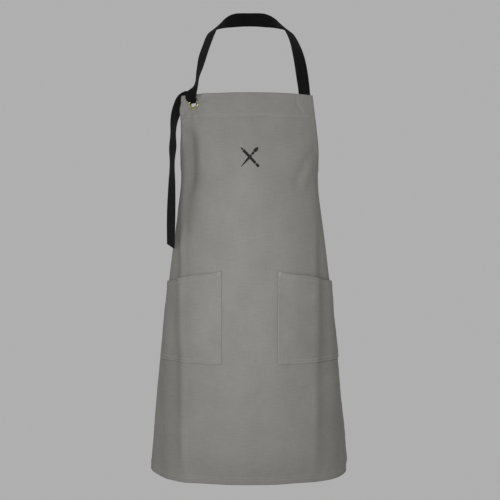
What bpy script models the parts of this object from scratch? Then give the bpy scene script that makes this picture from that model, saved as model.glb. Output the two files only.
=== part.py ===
"""Artist smock apron, modelled as it is worn.

One curved canvas panel makes the bib and the skirt. Two patch pockets sit on its front, hems and a top
facing on its back. A webbing neck strap is sewn behind one bib corner, goes round the neck and passes
through a brass eyelet in the other corner, and two waist ties are bowed behind.

Metres, +Z up, the front faces -Y. The origin is where the neck strap rests on the nape.
"""
import math

import bmesh
import bpy
import numpy as np
from mathutils import Matrix, Vector

# The flat cut of the canvas panel
PANEL_LENGTH = 0.866
SKIRT_HALF_WIDTH = 0.360
BIB_TOP_HALF_WIDTH = 0.156
ARMHOLE_DEPTH = 0.270
TOP_FACING = 0.050
EDGE_HEM = 0.012
BOTTOM_HEM = 0.015

# Cloth, webbing and the gap kept between touching pieces
CANVAS = 0.0010
WEBBING = 0.0015
WEBBING_WIDTH = 0.032
GAP = 0.0003

# The worn form: the panel follows a rounded cross-section that widens from the waist to the hem
BIB_TOP_Z = -0.210
WAIST_DROP = 0.200
CHEST_HALF_WIDTH, WAIST_HALF_WIDTH, HEM_HALF_WIDTH = 0.165, 0.1555, 0.234
CHEST_HALF_DEPTH, WAIST_HALF_DEPTH, HEM_HALF_DEPTH = 0.085, 0.100, 0.200
ROUND_SECTION, BOXY_SECTION = 2.0, 2.35
FRONT_Y = -0.205
BIB_LEAN = 0.015
BIB_SHIFT = -0.006
HEM_SIDE_RISE = 0.010

# Pockets, measured on the flat panel
POCKET_INNER = 0.062
POCKET_OUTER = 0.267
POCKET_TOP = 0.395
POCKET_SLANT = 0.032
POCKET_BOTTOM = 0.599
POCKET_ROOM = 0.0125
POCKET_HEM = 0.012
POCKET_INSET = 0.010
TACK_SIZE = (0.0024, 0.0009, 0.0100)

# Eyelet in the bib corner at -X
EYELET_U, EYELET_V = -0.125, 0.020
EYELET_BORE, EYELET_BARREL = 0.0082, 0.0092
EYELET_OUTER = 0.0150
EYELET_FLAT_INNER, EYELET_FLAT_OUTER = 0.0100, 0.0140
EYELET_CLOTH_HOLE = 0.0096
FLAT_RADIUS, FLAT_FADE = 0.034, 0.062

# Neck strap
STRAP_U = 0.1375
STRAP_SEWN = 0.045
FOLD_AXIS_Y, FOLD_AXIS_Z = -0.158, -0.2055
FOLD_CLEARANCE = 0.003
# Each station of the loop: a point on the strap's middle, then the way its outer face looks
LOOP_STATIONS = (
    ((0.1262, -0.1577, -0.2025), (0.45, -0.89, 0.10)),
    ((0.1192, -0.1490, -0.1700), (0.47, -0.84, 0.27)),
    ((0.1110, -0.1290, -0.1134), (0.52, -0.75, 0.41)),
    ((0.1038, -0.1090, -0.0818), (0.60, -0.54, 0.59)),
    ((0.0897, -0.0830, -0.0477), (0.57, -0.30, 0.76)),
    ((0.0722, -0.0500, -0.0254), (0.48, 0.25, 0.84)),
    ((0.0492, -0.0250, -0.0105), (0.35, 0.68, 0.64)),
    ((0.0254, -0.0080, -0.0026), (0.20, 0.95, 0.24)),
    ((0.0000, 0.0000, 0.0000), (0.00, 1.00, 0.05)),
    ((-0.0254, -0.0080, -0.0026), (-0.20, 0.95, 0.24)),
    ((-0.0492, -0.0250, -0.0105), (-0.35, 0.68, 0.64)),
    ((-0.0702, -0.0500, -0.0254), (-0.48, 0.25, 0.84)),
    ((-0.0857, -0.0830, -0.0477), (-0.57, -0.30, 0.76)),
    ((-0.0969, -0.1090, -0.0818), (-0.66, -0.50, 0.55)),
    ((-0.1053, -0.1290, -0.1134), (-0.72, -0.60, 0.36)),
    ((-0.1120, -0.1440, -0.1480), (-0.84, -0.48, 0.22)),
    ((-0.1190, -0.1550, -0.1800), (-0.93, -0.34, 0.10)),
    ((-0.1235, -0.1592, -0.2025), (-0.60, -0.80, 0.05)),
)
# Folded in half through the eyelet: along the panel, up, and out of its face, from the eyelet's middle
PASS_WIDTH, PASS_THICKNESS = 0.0135, 0.0030
PASS_STATIONS = (
    ((0.0020, 0.0205, 0.0036), (0.0, 0.1, 1.0)),
    ((0.0015, 0.0130, 0.0060), (0.0, 0.0, 1.0)),
    ((0.0005, 0.0060, 0.0066), (0.0, -0.3, 1.0)),
    ((0.0000, 0.0012, 0.0042), (0.0, -0.9, 0.8)),
    ((0.0000, 0.0000, 0.0000), (0.0, -1.0, 0.0)),
    ((-0.0005, 0.0010, -0.0048), (0.0, -0.9, -0.8)),
    ((-0.0040, 0.0060, -0.0085), (-0.2, -0.3, -1.0)),
    ((-0.0140, 0.0115, -0.0090), (0.0, 0.0, -1.0)),
    ((-0.0270, 0.0135, -0.0085), (0.0, 0.0, -1.0)),
    ((-0.0390, 0.0105, -0.0080), (0.0, 0.0, -1.0)),
    ((-0.0470, 0.0040, -0.0080), (0.0, 0.0, -1.0)),
    ((-0.0500, -0.0035, -0.0080), (0.0, 0.0, -1.0)),
)
TAIL_STATIONS = (
    ((-0.1650, -0.1265, -0.2375), (-0.55, -0.83, 0.00)),
    ((-0.1715, -0.1240, -0.2600), (-0.70, -0.71, 0.00)),
    ((-0.1745, -0.1255, -0.3100), (-0.84, -0.54, 0.00)),
    ((-0.1765, -0.1270, -0.3900), (-0.83, -0.55, 0.00)),
    ((-0.1785, -0.1280, -0.4700), (-0.80, -0.60, 0.00)),
    ((-0.1795, -0.1290, -0.5500), (-0.78, -0.62, 0.00)),
)
TAIL_CUT = 0.012

# Waist ties, bowed at the back
TIE_V = 0.290
TIE_SEWN = 0.030
PATCH = 0.040
KNOT_SIZE = (0.040, 0.022, 0.030)
BOW_REACH = 0.105
BOW_DROOP = math.radians(34.0)
BOW_OPENING = 0.010
BOW_TAIL = 0.400
PINCH = 0.45

# Columns of the panel from its middle to its edge: how far out each stretch ends, and its cells
COLUMN_STRETCHES = ((POCKET_INNER, 2), (POCKET_OUTER, 6), (SKIRT_HALF_WIDTH - EDGE_HEM, 3))
# Rows of the panel from its top: how far down each stretch ends, and its cells
ROW_STRETCHES = (
    (TOP_FACING, 2), (ARMHOLE_DEPTH, 8), (POCKET_TOP, 4), (POCKET_BOTTOM, 6),
    (PANEL_LENGTH - BOTTOM_HEM, 7), (PANEL_LENGTH, 1),
)
SECTION_SAMPLES = 240


def smooth(low, high, value):
    """0 below low, 1 above high, and an even ease between them."""
    t = min(1.0, max(0.0, (value - low) / (high - low)))
    return t * t * (3.0 - 2.0 * t)


def stretches(parts):
    """The values at the ends of the cells that the stretches are divided into, from 0."""
    values = [0.0]
    for end, cells in parts:
        start = values[-1]
        values += [start + (end - start) * (k + 1) / cells for k in range(cells)]
    return values


COLUMNS = stretches(COLUMN_STRETCHES)
ROWS = stretches(ROW_STRETCHES)
EDGE_COLUMN = len(COLUMNS)


def half_width(v):
    """Half the width of the cut, v below the bib's top: an armhole curve, then a straight side."""
    t = min(1.0, v / ARMHOLE_DEPTH)
    return BIB_TOP_HALF_WIDTH + (SKIRT_HALF_WIDTH - BIB_TOP_HALF_WIDTH) * (0.22 * t + 0.78 * t ** 3)


def section_sizes(z):
    """Half width, half depth, roundness and front of the worn form's cross-section at height z."""
    drop = BIB_TOP_Z - z
    above = smooth(0.0, WAIST_DROP, drop)
    below = (drop - WAIST_DROP) / (PANEL_LENGTH - WAIST_DROP)
    below = 0.5 * (below + math.sqrt(below * below + 0.0016))
    flare = below * (1.35 - 0.35 * below)
    wide = CHEST_HALF_WIDTH + (WAIST_HALF_WIDTH - CHEST_HALF_WIDTH) * above
    wide += (HEM_HALF_WIDTH - WAIST_HALF_WIDTH) * flare
    deep = CHEST_HALF_DEPTH + (WAIST_HALF_DEPTH - CHEST_HALF_DEPTH) * above
    deep += (HEM_HALF_DEPTH - WAIST_HALF_DEPTH) * flare
    power = ROUND_SECTION + (BOXY_SECTION - ROUND_SECTION) * smooth(0.2, 0.8, below)
    front = FRONT_Y + BIB_LEAN * (1.0 - smooth(0.0, 0.16, drop))
    return wide, deep, power, front


SECTIONS = {}


def section(z):
    """Points round half of the cross-section at height z, and the distance along it to each."""
    key = round(z, 5)
    if key not in SECTIONS:
        wide, deep, power, front = section_sizes(z)
        turn = np.linspace(0.0, math.pi, SECTION_SAMPLES + 1)
        x = wide * np.abs(np.sin(turn)) ** (2.0 / power)
        y = front + deep * (1.0 - np.sign(np.cos(turn)) * np.abs(np.cos(turn)) ** (2.0 / power))
        along = np.concatenate(([0.0], np.cumsum(np.hypot(np.diff(x), np.diff(y)))))
        SECTIONS[key] = (x, y, along)
    return SECTIONS[key]


def form_frame(u, z):
    """The point of the worn form u along its section from the front, and the normal there."""
    x, y, along = section(z)
    side = 1.0 if u >= 0.0 else -1.0
    reach = abs(u)
    point = Vector((side * np.interp(reach, along, x), np.interp(reach, along, y), z))
    step = 0.004
    ahead = np.array([np.interp(reach + step, along, x), np.interp(reach + step, along, y)])
    back = max(0.0, reach - step)
    behind = np.array([np.interp(back, along, x), np.interp(back, along, y)])
    tangent = (ahead - behind) / np.linalg.norm(ahead - behind)
    if reach < step:
        tangent = np.array([1.0, 0.0])
    return point, Vector((side * tangent[1], -tangent[0], 0.0))


def place_on_form(u, v, lift):
    """Where the panel's point (u, v) lies on the worn form, raised by lift."""
    rise = HEM_SIDE_RISE * (abs(u) / SKIRT_HALF_WIDTH) ** 4 * (max(0.0, v) / PANEL_LENGTH) ** 2
    z = BIB_TOP_Z - v + rise
    slide = BIB_SHIFT * (1.0 - smooth(0.0, ARMHOLE_DEPTH, v))
    point, normal = form_frame(u + slide, z)
    return point + normal * lift


EYELET = place_on_form(EYELET_U, EYELET_V, 0.0)
EYELET_NORMAL = form_frame(EYELET_U + BIB_SHIFT, EYELET.z)[1]
EYELET_ALONG = Vector((-EYELET_NORMAL.y, EYELET_NORMAL.x, 0.0))


def at_eyelet(along, up, out):
    """A point measured from the eyelet's middle: along the panel towards +X, up, and out of it."""
    return EYELET + EYELET_ALONG * along + Vector((0.0, 0.0, up)) + EYELET_NORMAL * out


def cloth_point(u, v, lift=0.0):
    """Where the panel's point (u, v) lies, with the bib corner lying flat round the eyelet."""
    point = place_on_form(u, v, lift)
    away = math.hypot(u - EYELET_U, v - EYELET_V)
    flat = 1.0 - smooth(FLAT_RADIUS, FLAT_FADE, away)
    if flat > 0.0:
        point = point.lerp(at_eyelet(u - EYELET_U, EYELET_V - v, lift), flat)
    return point


def column_u(column, v):
    """The u of a panel column at v: the last cell is always the width of the edge's hem."""
    side = -1.0 if column < 0 else 1.0
    column = abs(column)
    if column == EDGE_COLUMN:
        return side * half_width(v)
    inner = SKIRT_HALF_WIDTH - EDGE_HEM
    return side * COLUMNS[column] * (half_width(v) - EDGE_HEM) / inner


def clear_scene():
    """Remove the objects, materials and collections of the starting scene."""
    for item in list(bpy.data.objects):
        bpy.data.objects.remove(item, do_unlink=True)
    for item in list(bpy.data.collections):
        bpy.data.collections.remove(item)


def finish_material(name, colour, roughness, metallic=0.0):
    """A plain Principled material."""
    material = bpy.data.materials.new(name)
    material.use_nodes = True
    shader = material.node_tree.nodes["Principled BSDF"]
    shader.inputs["Base Color"].default_value = (*colour, 1.0)
    shader.inputs["Roughness"].default_value = roughness
    shader.inputs["Metallic"].default_value = metallic
    return material


def canvas_material(name):
    """Grey-taupe cotton canvas."""
    return finish_material(name, (0.245, 0.240, 0.225), 0.95)


def webbing_material(name):
    """Black cotton webbing."""
    return finish_material(name, (0.010, 0.010, 0.010), 0.85)


def brass_material(name):
    """Antique brass."""
    return finish_material(name, (0.45, 0.36, 0.16), 0.35, 1.0)


def thread_material(name):
    """Light grey sewing thread."""
    return finish_material(name, (0.40, 0.39, 0.37), 0.80)


def add_object(name, mesh, material, parent=None, pivot=None):
    """Put a mesh in the apron's collection, with its origin on the pivot where it moves."""
    mesh.materials.append(material)
    item = bpy.data.objects.new(name, mesh)
    APRON.objects.link(item)
    if pivot is not None:
        mesh.transform(Matrix.Translation(-pivot))
        item.location = pivot
    if parent is not None:
        item.parent = parent
    return item


def mesh_from(bm, name):
    """Turn a bmesh into a smooth-shaded mesh."""
    mesh = bpy.data.meshes.new(name)
    bm.to_mesh(mesh)
    bm.free()
    mesh.shade_smooth()
    mesh.set_sharp_from_angle(angle=math.radians(40.0))
    return mesh


def solidify(item, thickness):
    """Give an open sheet its thickness, evenly on both sides."""
    modifier = item.modifiers.new("thickness", "SOLIDIFY")
    modifier.thickness = thickness
    modifier.offset = 0.0
    modifier.use_even_offset = True
    return item


def sheet(name, columns, rows, place, thickness, material, pivot=None):
    """A closed sheet from a grid whose corner (column, row) lies at place(column, row)."""
    bm = bmesh.new()
    bmesh.ops.create_grid(bm, x_segments=columns, y_segments=rows, size=0.5)
    for vert in bm.verts:
        column = round((vert.co.x + 0.5) * columns)
        row = round((vert.co.y + 0.5) * rows)
        vert.co = place(column, row)
    return solidify(add_object(name, mesh_from(bm, name), material, pivot=pivot), thickness)


def panel_piece(name, first_column, last_column, first_row, last_row, lift):
    """A canvas sheet that follows the panel's own cells, lifted off its middle surface."""
    def place(column, row):
        v = ROWS[first_row + row]
        return cloth_point(column_u(first_column + column, v), v, lift)
    columns = last_column - first_column
    return sheet(name, columns, last_row - first_row, place, CANVAS, canvas_material(f"{name}_canvas"))


def turned(name, profile, lift, material, steps=40):
    """A ring turned about the eyelet's axis from a closed profile of (radius, height) corners."""
    bm = bmesh.new()
    corners = [bm.verts.new((radius, 0.0, height)) for radius, height in reversed(profile)]
    for here, there in zip(corners, corners[1:] + corners[:1]):
        bm.edges.new((here, there))
    mesh = bpy.data.meshes.new(name)
    bm.to_mesh(mesh)
    bm.free()
    item = add_object(name, mesh, material)
    screw = item.modifiers.new("turn", "SCREW")
    screw.axis = "Z"
    screw.steps = steps
    screw.render_steps = steps
    screw.use_merge_vertices = True
    screw.merge_threshold = 0.00002
    screw.use_smooth_shade = True
    item.matrix_world = eyelet_matrix(lift)
    return item


def eyelet_matrix(lift):
    """Turns local +Z to the eyelet's normal, at its middle raised by lift."""
    turn = Matrix((EYELET_ALONG, Vector((0.0, 0.0, 1.0)), EYELET_NORMAL)).transposed().to_4x4()
    return Matrix.Translation(EYELET + EYELET_NORMAL * lift) @ turn


def cut_eyelet_hole(item):
    """Cut the eyelet's round hole through a cloth piece."""
    modifier = item.modifiers.new("eyelet_hole", "BOOLEAN")
    modifier.operation = "DIFFERENCE"
    modifier.solver = "EXACT"
    modifier.object = EYELET_CUTTER


def eyelet_cutter():
    """A cylinder the size of the hole in the cloth, along the eyelet's axis."""
    bm = bmesh.new()
    bmesh.ops.create_cone(
        bm, cap_ends=True, segments=32, radius1=EYELET_CLOTH_HOLE, radius2=EYELET_CLOTH_HOLE, depth=0.03,
    )
    mesh = bpy.data.meshes.new("eyelet_cutter")
    bm.to_mesh(mesh)
    bm.free()
    item = bpy.data.objects.new("eyelet_cutter", mesh)
    CUTTERS.objects.link(item)
    item.matrix_world = eyelet_matrix(0.0)
    item.hide_render = True
    item.display_type = "WIRE"
    return item


def spline(points, count):
    """Evenly spaced points on a smooth curve through the given ones, with their normals."""
    places = np.array([point for point, _ in points], dtype=float)
    faces = np.array([face for _, face in points], dtype=float)
    knots = np.concatenate(([0.0], np.cumsum(np.linalg.norm(np.diff(places, axis=0), axis=1))))
    fine = np.linspace(0.0, knots[-1], 24 * len(points))

    def through(values):
        slopes = np.gradient(values, knots, axis=0)
        cell = np.clip(np.searchsorted(knots, fine, side="right") - 1, 0, len(knots) - 2)
        span = (knots[cell + 1] - knots[cell])[:, None]
        t = (fine - knots[cell])[:, None] / span
        leave, arrive = 2 * t ** 3 - 3 * t ** 2 + 1, 3 * t ** 2 - 2 * t ** 3
        steer_out, steer_in = t ** 3 - 2 * t ** 2 + t, t ** 3 - t ** 2
        curve = leave * values[cell] + arrive * values[cell + 1]
        return curve + span * (steer_out * slopes[cell] + steer_in * slopes[cell + 1])

    curve, normals = through(places), through(faces)
    along = np.concatenate(([0.0], np.cumsum(np.linalg.norm(np.diff(curve, axis=0), axis=1))))
    even = np.linspace(0.0, along[-1], count)
    points = [Vector([np.interp(d, along, curve[:, k]) for k in range(3)]) for d in even]
    normals = [Vector([np.interp(d, along, normals[:, k]) for k in range(3)]) for d in even]
    return points, normals


def full_width(_):
    """A strap that keeps its width all along."""
    return 1.0


def ribbon(name, stations, cells, width, thickness, material, pivot=None, cut=0.0,
           share=full_width):
    """A flat strap along the stations. Its share of the width varies along it, and a cut slants its end."""
    points, normals = spline(stations, cells + 1)

    def place(column, row):
        ahead = points[min(row + 1, cells)] - points[max(row - 1, 0)]
        tangent = ahead.normalized()
        across = tangent.cross(normals[row]).normalized()
        slant = cut * (0.5 - column) if row == cells else 0.0
        reach = width * share(row / cells) * (column - 0.5)
        return points[row] + across * reach + tangent * slant
    return sheet(name, 1, cells, place, thickness, material, pivot=pivot)


def build_panel_and_hems():
    """The canvas panel, its top facing and the hems behind its edges."""
    edge, last = EDGE_COLUMN, len(ROWS) - 1
    facing_row = ROWS.index(TOP_FACING)
    side_row = next(k for k, v in enumerate(ROWS) if v > ARMHOLE_DEPTH - 0.001)
    behind = -(CANVAS + GAP)
    panel = panel_piece("canvas_panel", -edge, edge, 0, last, 0.0)
    facing = panel_piece("bib_top_facing", -edge, edge, 0, facing_row, behind)
    cut_eyelet_hole(panel)
    cut_eyelet_hole(facing)
    panel_piece("bottom_hem", -edge, edge, last - 1, last, behind)
    for side, start in (("left", -edge), ("right", edge - 1)):
        hem_between(f"armhole_hem_{side}", start, facing_row, side_row)
        hem_between(f"side_hem_{side}", start, side_row, last - 1)


def hem_between(name, column, first_row, last_row):
    """A hem strip behind the panel's edge cells, just short of its neighbours at both ends."""
    rows = ROWS[first_row:last_row + 1]
    rows[0] += 2 * GAP
    rows[-1] -= 2 * GAP

    def place(side, row):
        v = rows[row]
        return cloth_point(column_u(column + side, v), v, -(CANVAS + GAP))
    sheet(name, 1, len(rows) - 1, place, CANVAS, canvas_material(name + "_canvas"))


def pocket_top(u):
    """The v of a pocket's slanting mouth at distance u from the middle."""
    across = (abs(u) - POCKET_INNER) / (POCKET_OUTER - POCKET_INNER)
    return POCKET_TOP + POCKET_SLANT * across


def pocket_lift(u, v):
    """How far a pocket stands off the panel: sewn down at its sides and bottom, roomy between."""
    seam = CANVAS + GAP
    from_side = min(abs(u) - POCKET_INNER, POCKET_OUTER - abs(u))
    from_bottom = POCKET_BOTTOM - v
    room = smooth(0.0, 0.028, from_side) * smooth(0.0, 0.040, from_bottom)
    return seam + POCKET_ROOM * room


def build_pocket(side, sign):
    """A patch pocket, the hem inside its mouth and the bar tacks at the mouth's two ends."""
    near, far = POCKET_INNER + POCKET_INSET, POCKET_OUTER - POCKET_INSET
    middle = [u for u in COLUMNS if near < u < far]
    across = [POCKET_INNER, near, *middle, far, POCKET_OUTER]
    rows = 9

    def place(column, row):
        u = sign * across[column]
        down = row / rows
        v = pocket_top(u) + (POCKET_BOTTOM - pocket_top(u)) * down
        return cloth_point(u, v, pocket_lift(u, v))
    sheet(f"pocket_{side}", len(across) - 1, rows, place, CANVAS,
          canvas_material(f"pocket_{side}_canvas"))

    hem_across = across[1:-1]

    def hem_place(column, row):
        u = sign * hem_across[column]
        v = pocket_top(u) + 0.001 + POCKET_HEM * row
        return cloth_point(u, v, pocket_lift(u, v) - CANVAS - 2 * GAP)
    sheet(f"pocket_hem_{side}", len(hem_across) - 1, 1, hem_place, CANVAS,
          canvas_material(f"pocket_hem_{side}_canvas"))


def build_bar_tack(side, sign, place, edge, inward):
    """Dense stitching across one end of a pocket's mouth, on the slope beside its seam."""
    v = pocket_top(edge) + 0.006
    inner = edge + inward * POCKET_INSET
    seam = cloth_point(sign * edge, v, pocket_lift(edge, v))
    slope = cloth_point(sign * inner, v, pocket_lift(inner, v)) - seam
    sideways = (slope * sign * inward).normalized()
    normal = sideways.cross(Vector((0.0, 0.0, 1.0))).normalized()
    middle = seam + slope * 0.3 + normal * (0.5 * CANVAS + GAP + 0.0007)
    turn = Matrix((sideways, normal, sideways.cross(normal))).transposed().to_4x4()
    name = f"bar_tack_{side}_{place}"
    bm = bmesh.new()
    bmesh.ops.create_cube(
        bm, size=1.0,
        matrix=Matrix.Translation(middle) @ turn @ Matrix.Diagonal((*TACK_SIZE, 1.0)),
    )
    bmesh.ops.recalc_face_normals(bm, faces=bm.faces)
    add_object(name, mesh_from(bm, name), thread_material(f"{name}_thread"))


def build_eyelet():
    """The brass eyelet: a front flange with its barrel, and the washer set behind the facing."""
    front = 0.5 * CANVAS + GAP
    back = -(1.5 * CANVAS + 2 * GAP)
    flange = (
        (EYELET_BORE, 0.0008), (EYELET_BORE, back - front - 0.0014), (EYELET_BARREL, back - front - 0.0014),
        (EYELET_BARREL, 0.0), (EYELET_OUTER, 0.0), (EYELET_OUTER, 0.0005), (EYELET_FLAT_OUTER, 0.0012),
        (EYELET_FLAT_INNER, 0.0012),
    )
    turned("eyelet_flange", flange, front, brass_material("flange_brass"))
    washer_inner, washer_outer = EYELET_BARREL + GAP, 0.0142
    washer = (
        (washer_inner, -0.0010), (washer_outer - 0.0004, -0.0010), (washer_outer, -0.0005),
        (washer_outer, 0.0), (washer_inner, 0.0),
    )
    turned("eyelet_washer", washer, back, brass_material("washer_brass"))


def build_neck_strap():
    """The neck strap's sewn end, its loop, its folded pass through the eyelet and its free tail."""
    behind = -(1.5 * CANVAS + 2 * GAP + 0.5 * WEBBING + 0.0006)

    def sewn_place(column, row):
        u = STRAP_U + WEBBING_WIDTH * (0.25 * column - 0.5)
        v = STRAP_SEWN - (STRAP_SEWN + FOLD_AXIS_Z - FOLD_CLEARANCE - BIB_TOP_Z) * row / 4
        return cloth_point(u, v, behind)
    sheet("neck_strap_sewn_end", 4, 4, sewn_place, WEBBING, webbing_material("sewn_end_webbing"))
    ribbon("neck_strap_loop", LOOP_STATIONS, 44, WEBBING_WIDTH, WEBBING, webbing_material("loop_webbing"),
           pivot=Vector((0.0, FOLD_AXIS_Y, FOLD_AXIS_Z)))
    stations = []
    for place, face in PASS_STATIONS:
        normal = EYELET_ALONG * face[0] + Vector((0.0, 0.0, face[1])) + EYELET_NORMAL * face[2]
        stations.append((at_eyelet(*place), normal))
    ribbon("neck_strap_eyelet_pass", stations, 46, PASS_WIDTH, PASS_THICKNESS,
           webbing_material("pass_webbing"))
    top = Vector(TAIL_STATIONS[0][0])
    ribbon("neck_strap_tail", TAIL_STATIONS, 14, WEBBING_WIDTH, WEBBING, webbing_material("tail_webbing"),
           pivot=top + Vector((0.0, 0.0, 0.002)), cut=TAIL_CUT)


def half_round(v):
    """The distance from the front to the back of the form, round half of its section at v."""
    return float(section(BIB_TOP_Z - v)[2][-1])


def build_waist_ties():
    """The two ties, from under their anchor patches to the knot at the back."""
    end = half_round(TIE_V) - 0.5 * KNOT_SIZE[0] - 0.001
    start = SKIRT_HALF_WIDTH - TIE_SEWN
    under = -(0.5 * CANVAS + GAP + CANVAS + GAP + 0.5 * WEBBING + 0.0004)
    cells = 8
    for side, sign in (("left", -1.0), ("right", 1.0)):
        def tie_place(column, row):
            u = start + (end - start) * row / cells
            return cloth_point(sign * u, TIE_V + WEBBING_WIDTH * (column - 0.5), under)
        sheet(f"waist_tie_{side}", 1, cells, tie_place, WEBBING, webbing_material(f"tie_{side}_webbing"))

        def patch_place(column, row):
            u = SKIRT_HALF_WIDTH - EDGE_HEM - 0.001 - PATCH + PATCH * column / 2
            v = TIE_V + PATCH * (row / 2 - 0.5)
            return cloth_point(sign * u, v, under - 0.5 * WEBBING - 0.5 * CANVAS - 0.0006)
        sheet(f"tie_anchor_patch_{side}", 2, 2, patch_place, CANVAS,
              canvas_material(f"anchor_patch_{side}_canvas"))


def build_bow():
    """The knot, the two loops that droop beside it, and the two tails that hang below it."""
    centre = cloth_point(half_round(TIE_V), TIE_V, 0.0)
    centre.x = 0.0
    centre.y += 0.003
    bm = bmesh.new()
    bmesh.ops.create_uvsphere(bm, u_segments=20, v_segments=12, radius=0.5)
    bmesh.ops.scale(bm, vec=KNOT_SIZE, verts=bm.verts)
    bmesh.ops.translate(bm, vec=centre, verts=bm.verts)
    add_object("waist_bow_knot", mesh_from(bm, "waist_bow_knot"), webbing_material("knot_webbing"))
    for side, sign in (("left", -1.0), ("right", 1.0)):
        build_bow_loop(side, sign, centre)
        build_bow_tail(side, sign, centre)


def build_bow_loop(side, sign, centre):
    """One loop: webbing that leaves the knot, turns back at its reach and returns behind itself."""
    out = Vector((sign * math.cos(BOW_DROOP), 0.0, -math.sin(BOW_DROOP)))
    root = centre + out * (0.5 * KNOT_SIZE[0] + 0.0030) + Vector((0.0, BOW_OPENING, 0.0))
    length = BOW_REACH - 0.5 * KNOT_SIZE[0]
    stations = []
    for k in range(13):
        turn = math.pi * k / 12
        reach = length * math.sin(turn) ** 0.75
        apart = BOW_OPENING * math.cos(turn) * (0.25 + 0.75 * math.sin(turn) ** 0.5)
        outward = Vector((0.0, math.cos(turn), 0.0)) + out * math.sin(turn)
        stations.append((root + out * reach + Vector((0.0, apart, 0.0)), outward))
    ribbon(f"waist_bow_loop_{side}", stations, 28, WEBBING_WIDTH * 0.9, WEBBING,
           webbing_material(f"bow_loop_{side}_webbing"),
           share=lambda along: PINCH + (1.0 - PINCH) * math.sin(math.pi * along) ** 0.8)


def build_bow_tail(side, sign, centre):
    """One tail: it hangs from under the knot and drifts a little to its side."""
    top = centre + Vector((sign * 0.0105, 0.0, -0.5 * KNOT_SIZE[2] - 0.003))
    drift = Vector((sign * 0.036, 0.004, -BOW_TAIL))
    stations = [(top + drift * (k / 4), Vector((sign * 0.05, 1.0, 0.0))) for k in range(5)]
    ribbon(f"waist_bow_tail_{side}", stations, 14, WEBBING_WIDTH, WEBBING,
           webbing_material(f"bow_tail_{side}_webbing"), pivot=top + Vector((0.0, 0.0, 0.0015)),
           cut=-sign * 0.010, share=lambda along: PINCH + (1.0 - PINCH) * smooth(0.0, 0.25, along))


clear_scene()
APRON = bpy.data.collections.new("artist_smock_apron")
CUTTERS = bpy.data.collections.new("cutters")
bpy.context.scene.collection.children.link(APRON)
bpy.context.scene.collection.children.link(CUTTERS)
EYELET_CUTTER = eyelet_cutter()
build_panel_and_hems()
for pocket_side, pocket_sign in (("left", -1.0), ("right", 1.0)):
    build_pocket(pocket_side, pocket_sign)
    build_bar_tack(pocket_side, pocket_sign, "inner", POCKET_INNER, 1.0)
    build_bar_tack(pocket_side, pocket_sign, "outer", POCKET_OUTER, -1.0)
build_eyelet()
build_neck_strap()
build_waist_ties()
build_bow()
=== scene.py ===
"""The looks of a canvas artist's smock apron, built on its worn frame.

Lengths are in metres. The front faces -Y, +Z is up, and the origin is where the neck strap rests on the
nape. Cloth is described on its flat cut first, as u across from the middle and v down from the bib's top,
and a worn form then says where each flat point lies.
"""
import logging
import math
from dataclasses import dataclass, field
from enum import Enum
from typing import Callable, Sequence

import bmesh
import bpy
import numpy as np
from mathutils import Matrix, Vector


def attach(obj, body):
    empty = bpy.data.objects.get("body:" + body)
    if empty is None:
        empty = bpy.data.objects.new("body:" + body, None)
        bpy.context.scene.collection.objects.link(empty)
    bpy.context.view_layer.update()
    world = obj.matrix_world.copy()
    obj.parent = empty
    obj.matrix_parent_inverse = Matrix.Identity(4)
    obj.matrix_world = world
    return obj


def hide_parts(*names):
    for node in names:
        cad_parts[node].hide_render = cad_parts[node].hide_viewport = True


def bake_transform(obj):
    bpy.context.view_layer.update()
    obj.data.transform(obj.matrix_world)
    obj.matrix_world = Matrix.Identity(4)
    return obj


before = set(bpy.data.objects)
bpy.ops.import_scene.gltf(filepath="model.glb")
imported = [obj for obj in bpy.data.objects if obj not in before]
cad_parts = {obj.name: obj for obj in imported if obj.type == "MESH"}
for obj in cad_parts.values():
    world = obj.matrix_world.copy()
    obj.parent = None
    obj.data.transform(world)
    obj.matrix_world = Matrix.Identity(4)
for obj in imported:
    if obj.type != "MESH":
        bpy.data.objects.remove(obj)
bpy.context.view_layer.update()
LOG = logging.getLogger("apron")
ROOT = "root"
WEAVE_UV = "weave"
TONE = "tone"


class Side(Enum):
    """The two sides of the apron, as someone looking at its front sees them."""

    LEFT = -1.0
    RIGHT = 1.0

    @property
    def word(self) -> str:
        """The side's name as the nodes spell it."""
        return self.name.lower()


class Slot(Enum):
    """The material slots."""

    CANVAS = "canvas"
    WEBBING = "webbing"
    BRASS = "brass"
    THREAD = "thread"


def ease(low: float, high: float, value: np.ndarray) -> np.ndarray:
    """0 below low, 1 above high, and an even ease between them."""
    t = np.clip((np.asarray(value, dtype=float) - low) / (high - low), 0.0, 1.0)
    return t * t * (3.0 - 2.0 * t)


def bell(value: np.ndarray, width: float) -> np.ndarray:
    """A smooth bump of height 1 at 0 that has nearly gone at twice its width."""
    return np.exp(-(np.asarray(value, dtype=float) / width) ** 2)


class LatticeNoise:
    """Smooth noise over a plane, from a seeded lattice, so that it is the same on each run."""

    def __init__(self, seed: int, size: int = 64) -> None:
        """Draw the lattice.

        Args:
            seed: which pattern to draw.
            size: cells before the pattern repeats.
        """
        self.size = size
        self.values = np.random.default_rng(seed).uniform(-1.0, 1.0, (size, size))

    def at(self, x: np.ndarray, y: np.ndarray) -> np.ndarray:
        """The noise at points measured in lattice cells.

        Args:
            x: positions along one side, in cells.
            y: positions along the other side, in cells.

        Returns:
            Values between -1 and 1.
        """
        column, row = np.floor(x).astype(int), np.floor(y).astype(int)
        right, up = x - column, y - row
        right, up = right * right * (3 - 2 * right), up * up * (3 - 2 * up)
        here = self.values[row % self.size, column % self.size]
        there = self.values[row % self.size, (column + 1) % self.size]
        above = self.values[(row + 1) % self.size, column % self.size]
        beyond = self.values[(row + 1) % self.size, (column + 1) % self.size]
        low = here + (there - here) * right
        high = above + (beyond - above) * right
        return low + (high - low) * up


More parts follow.
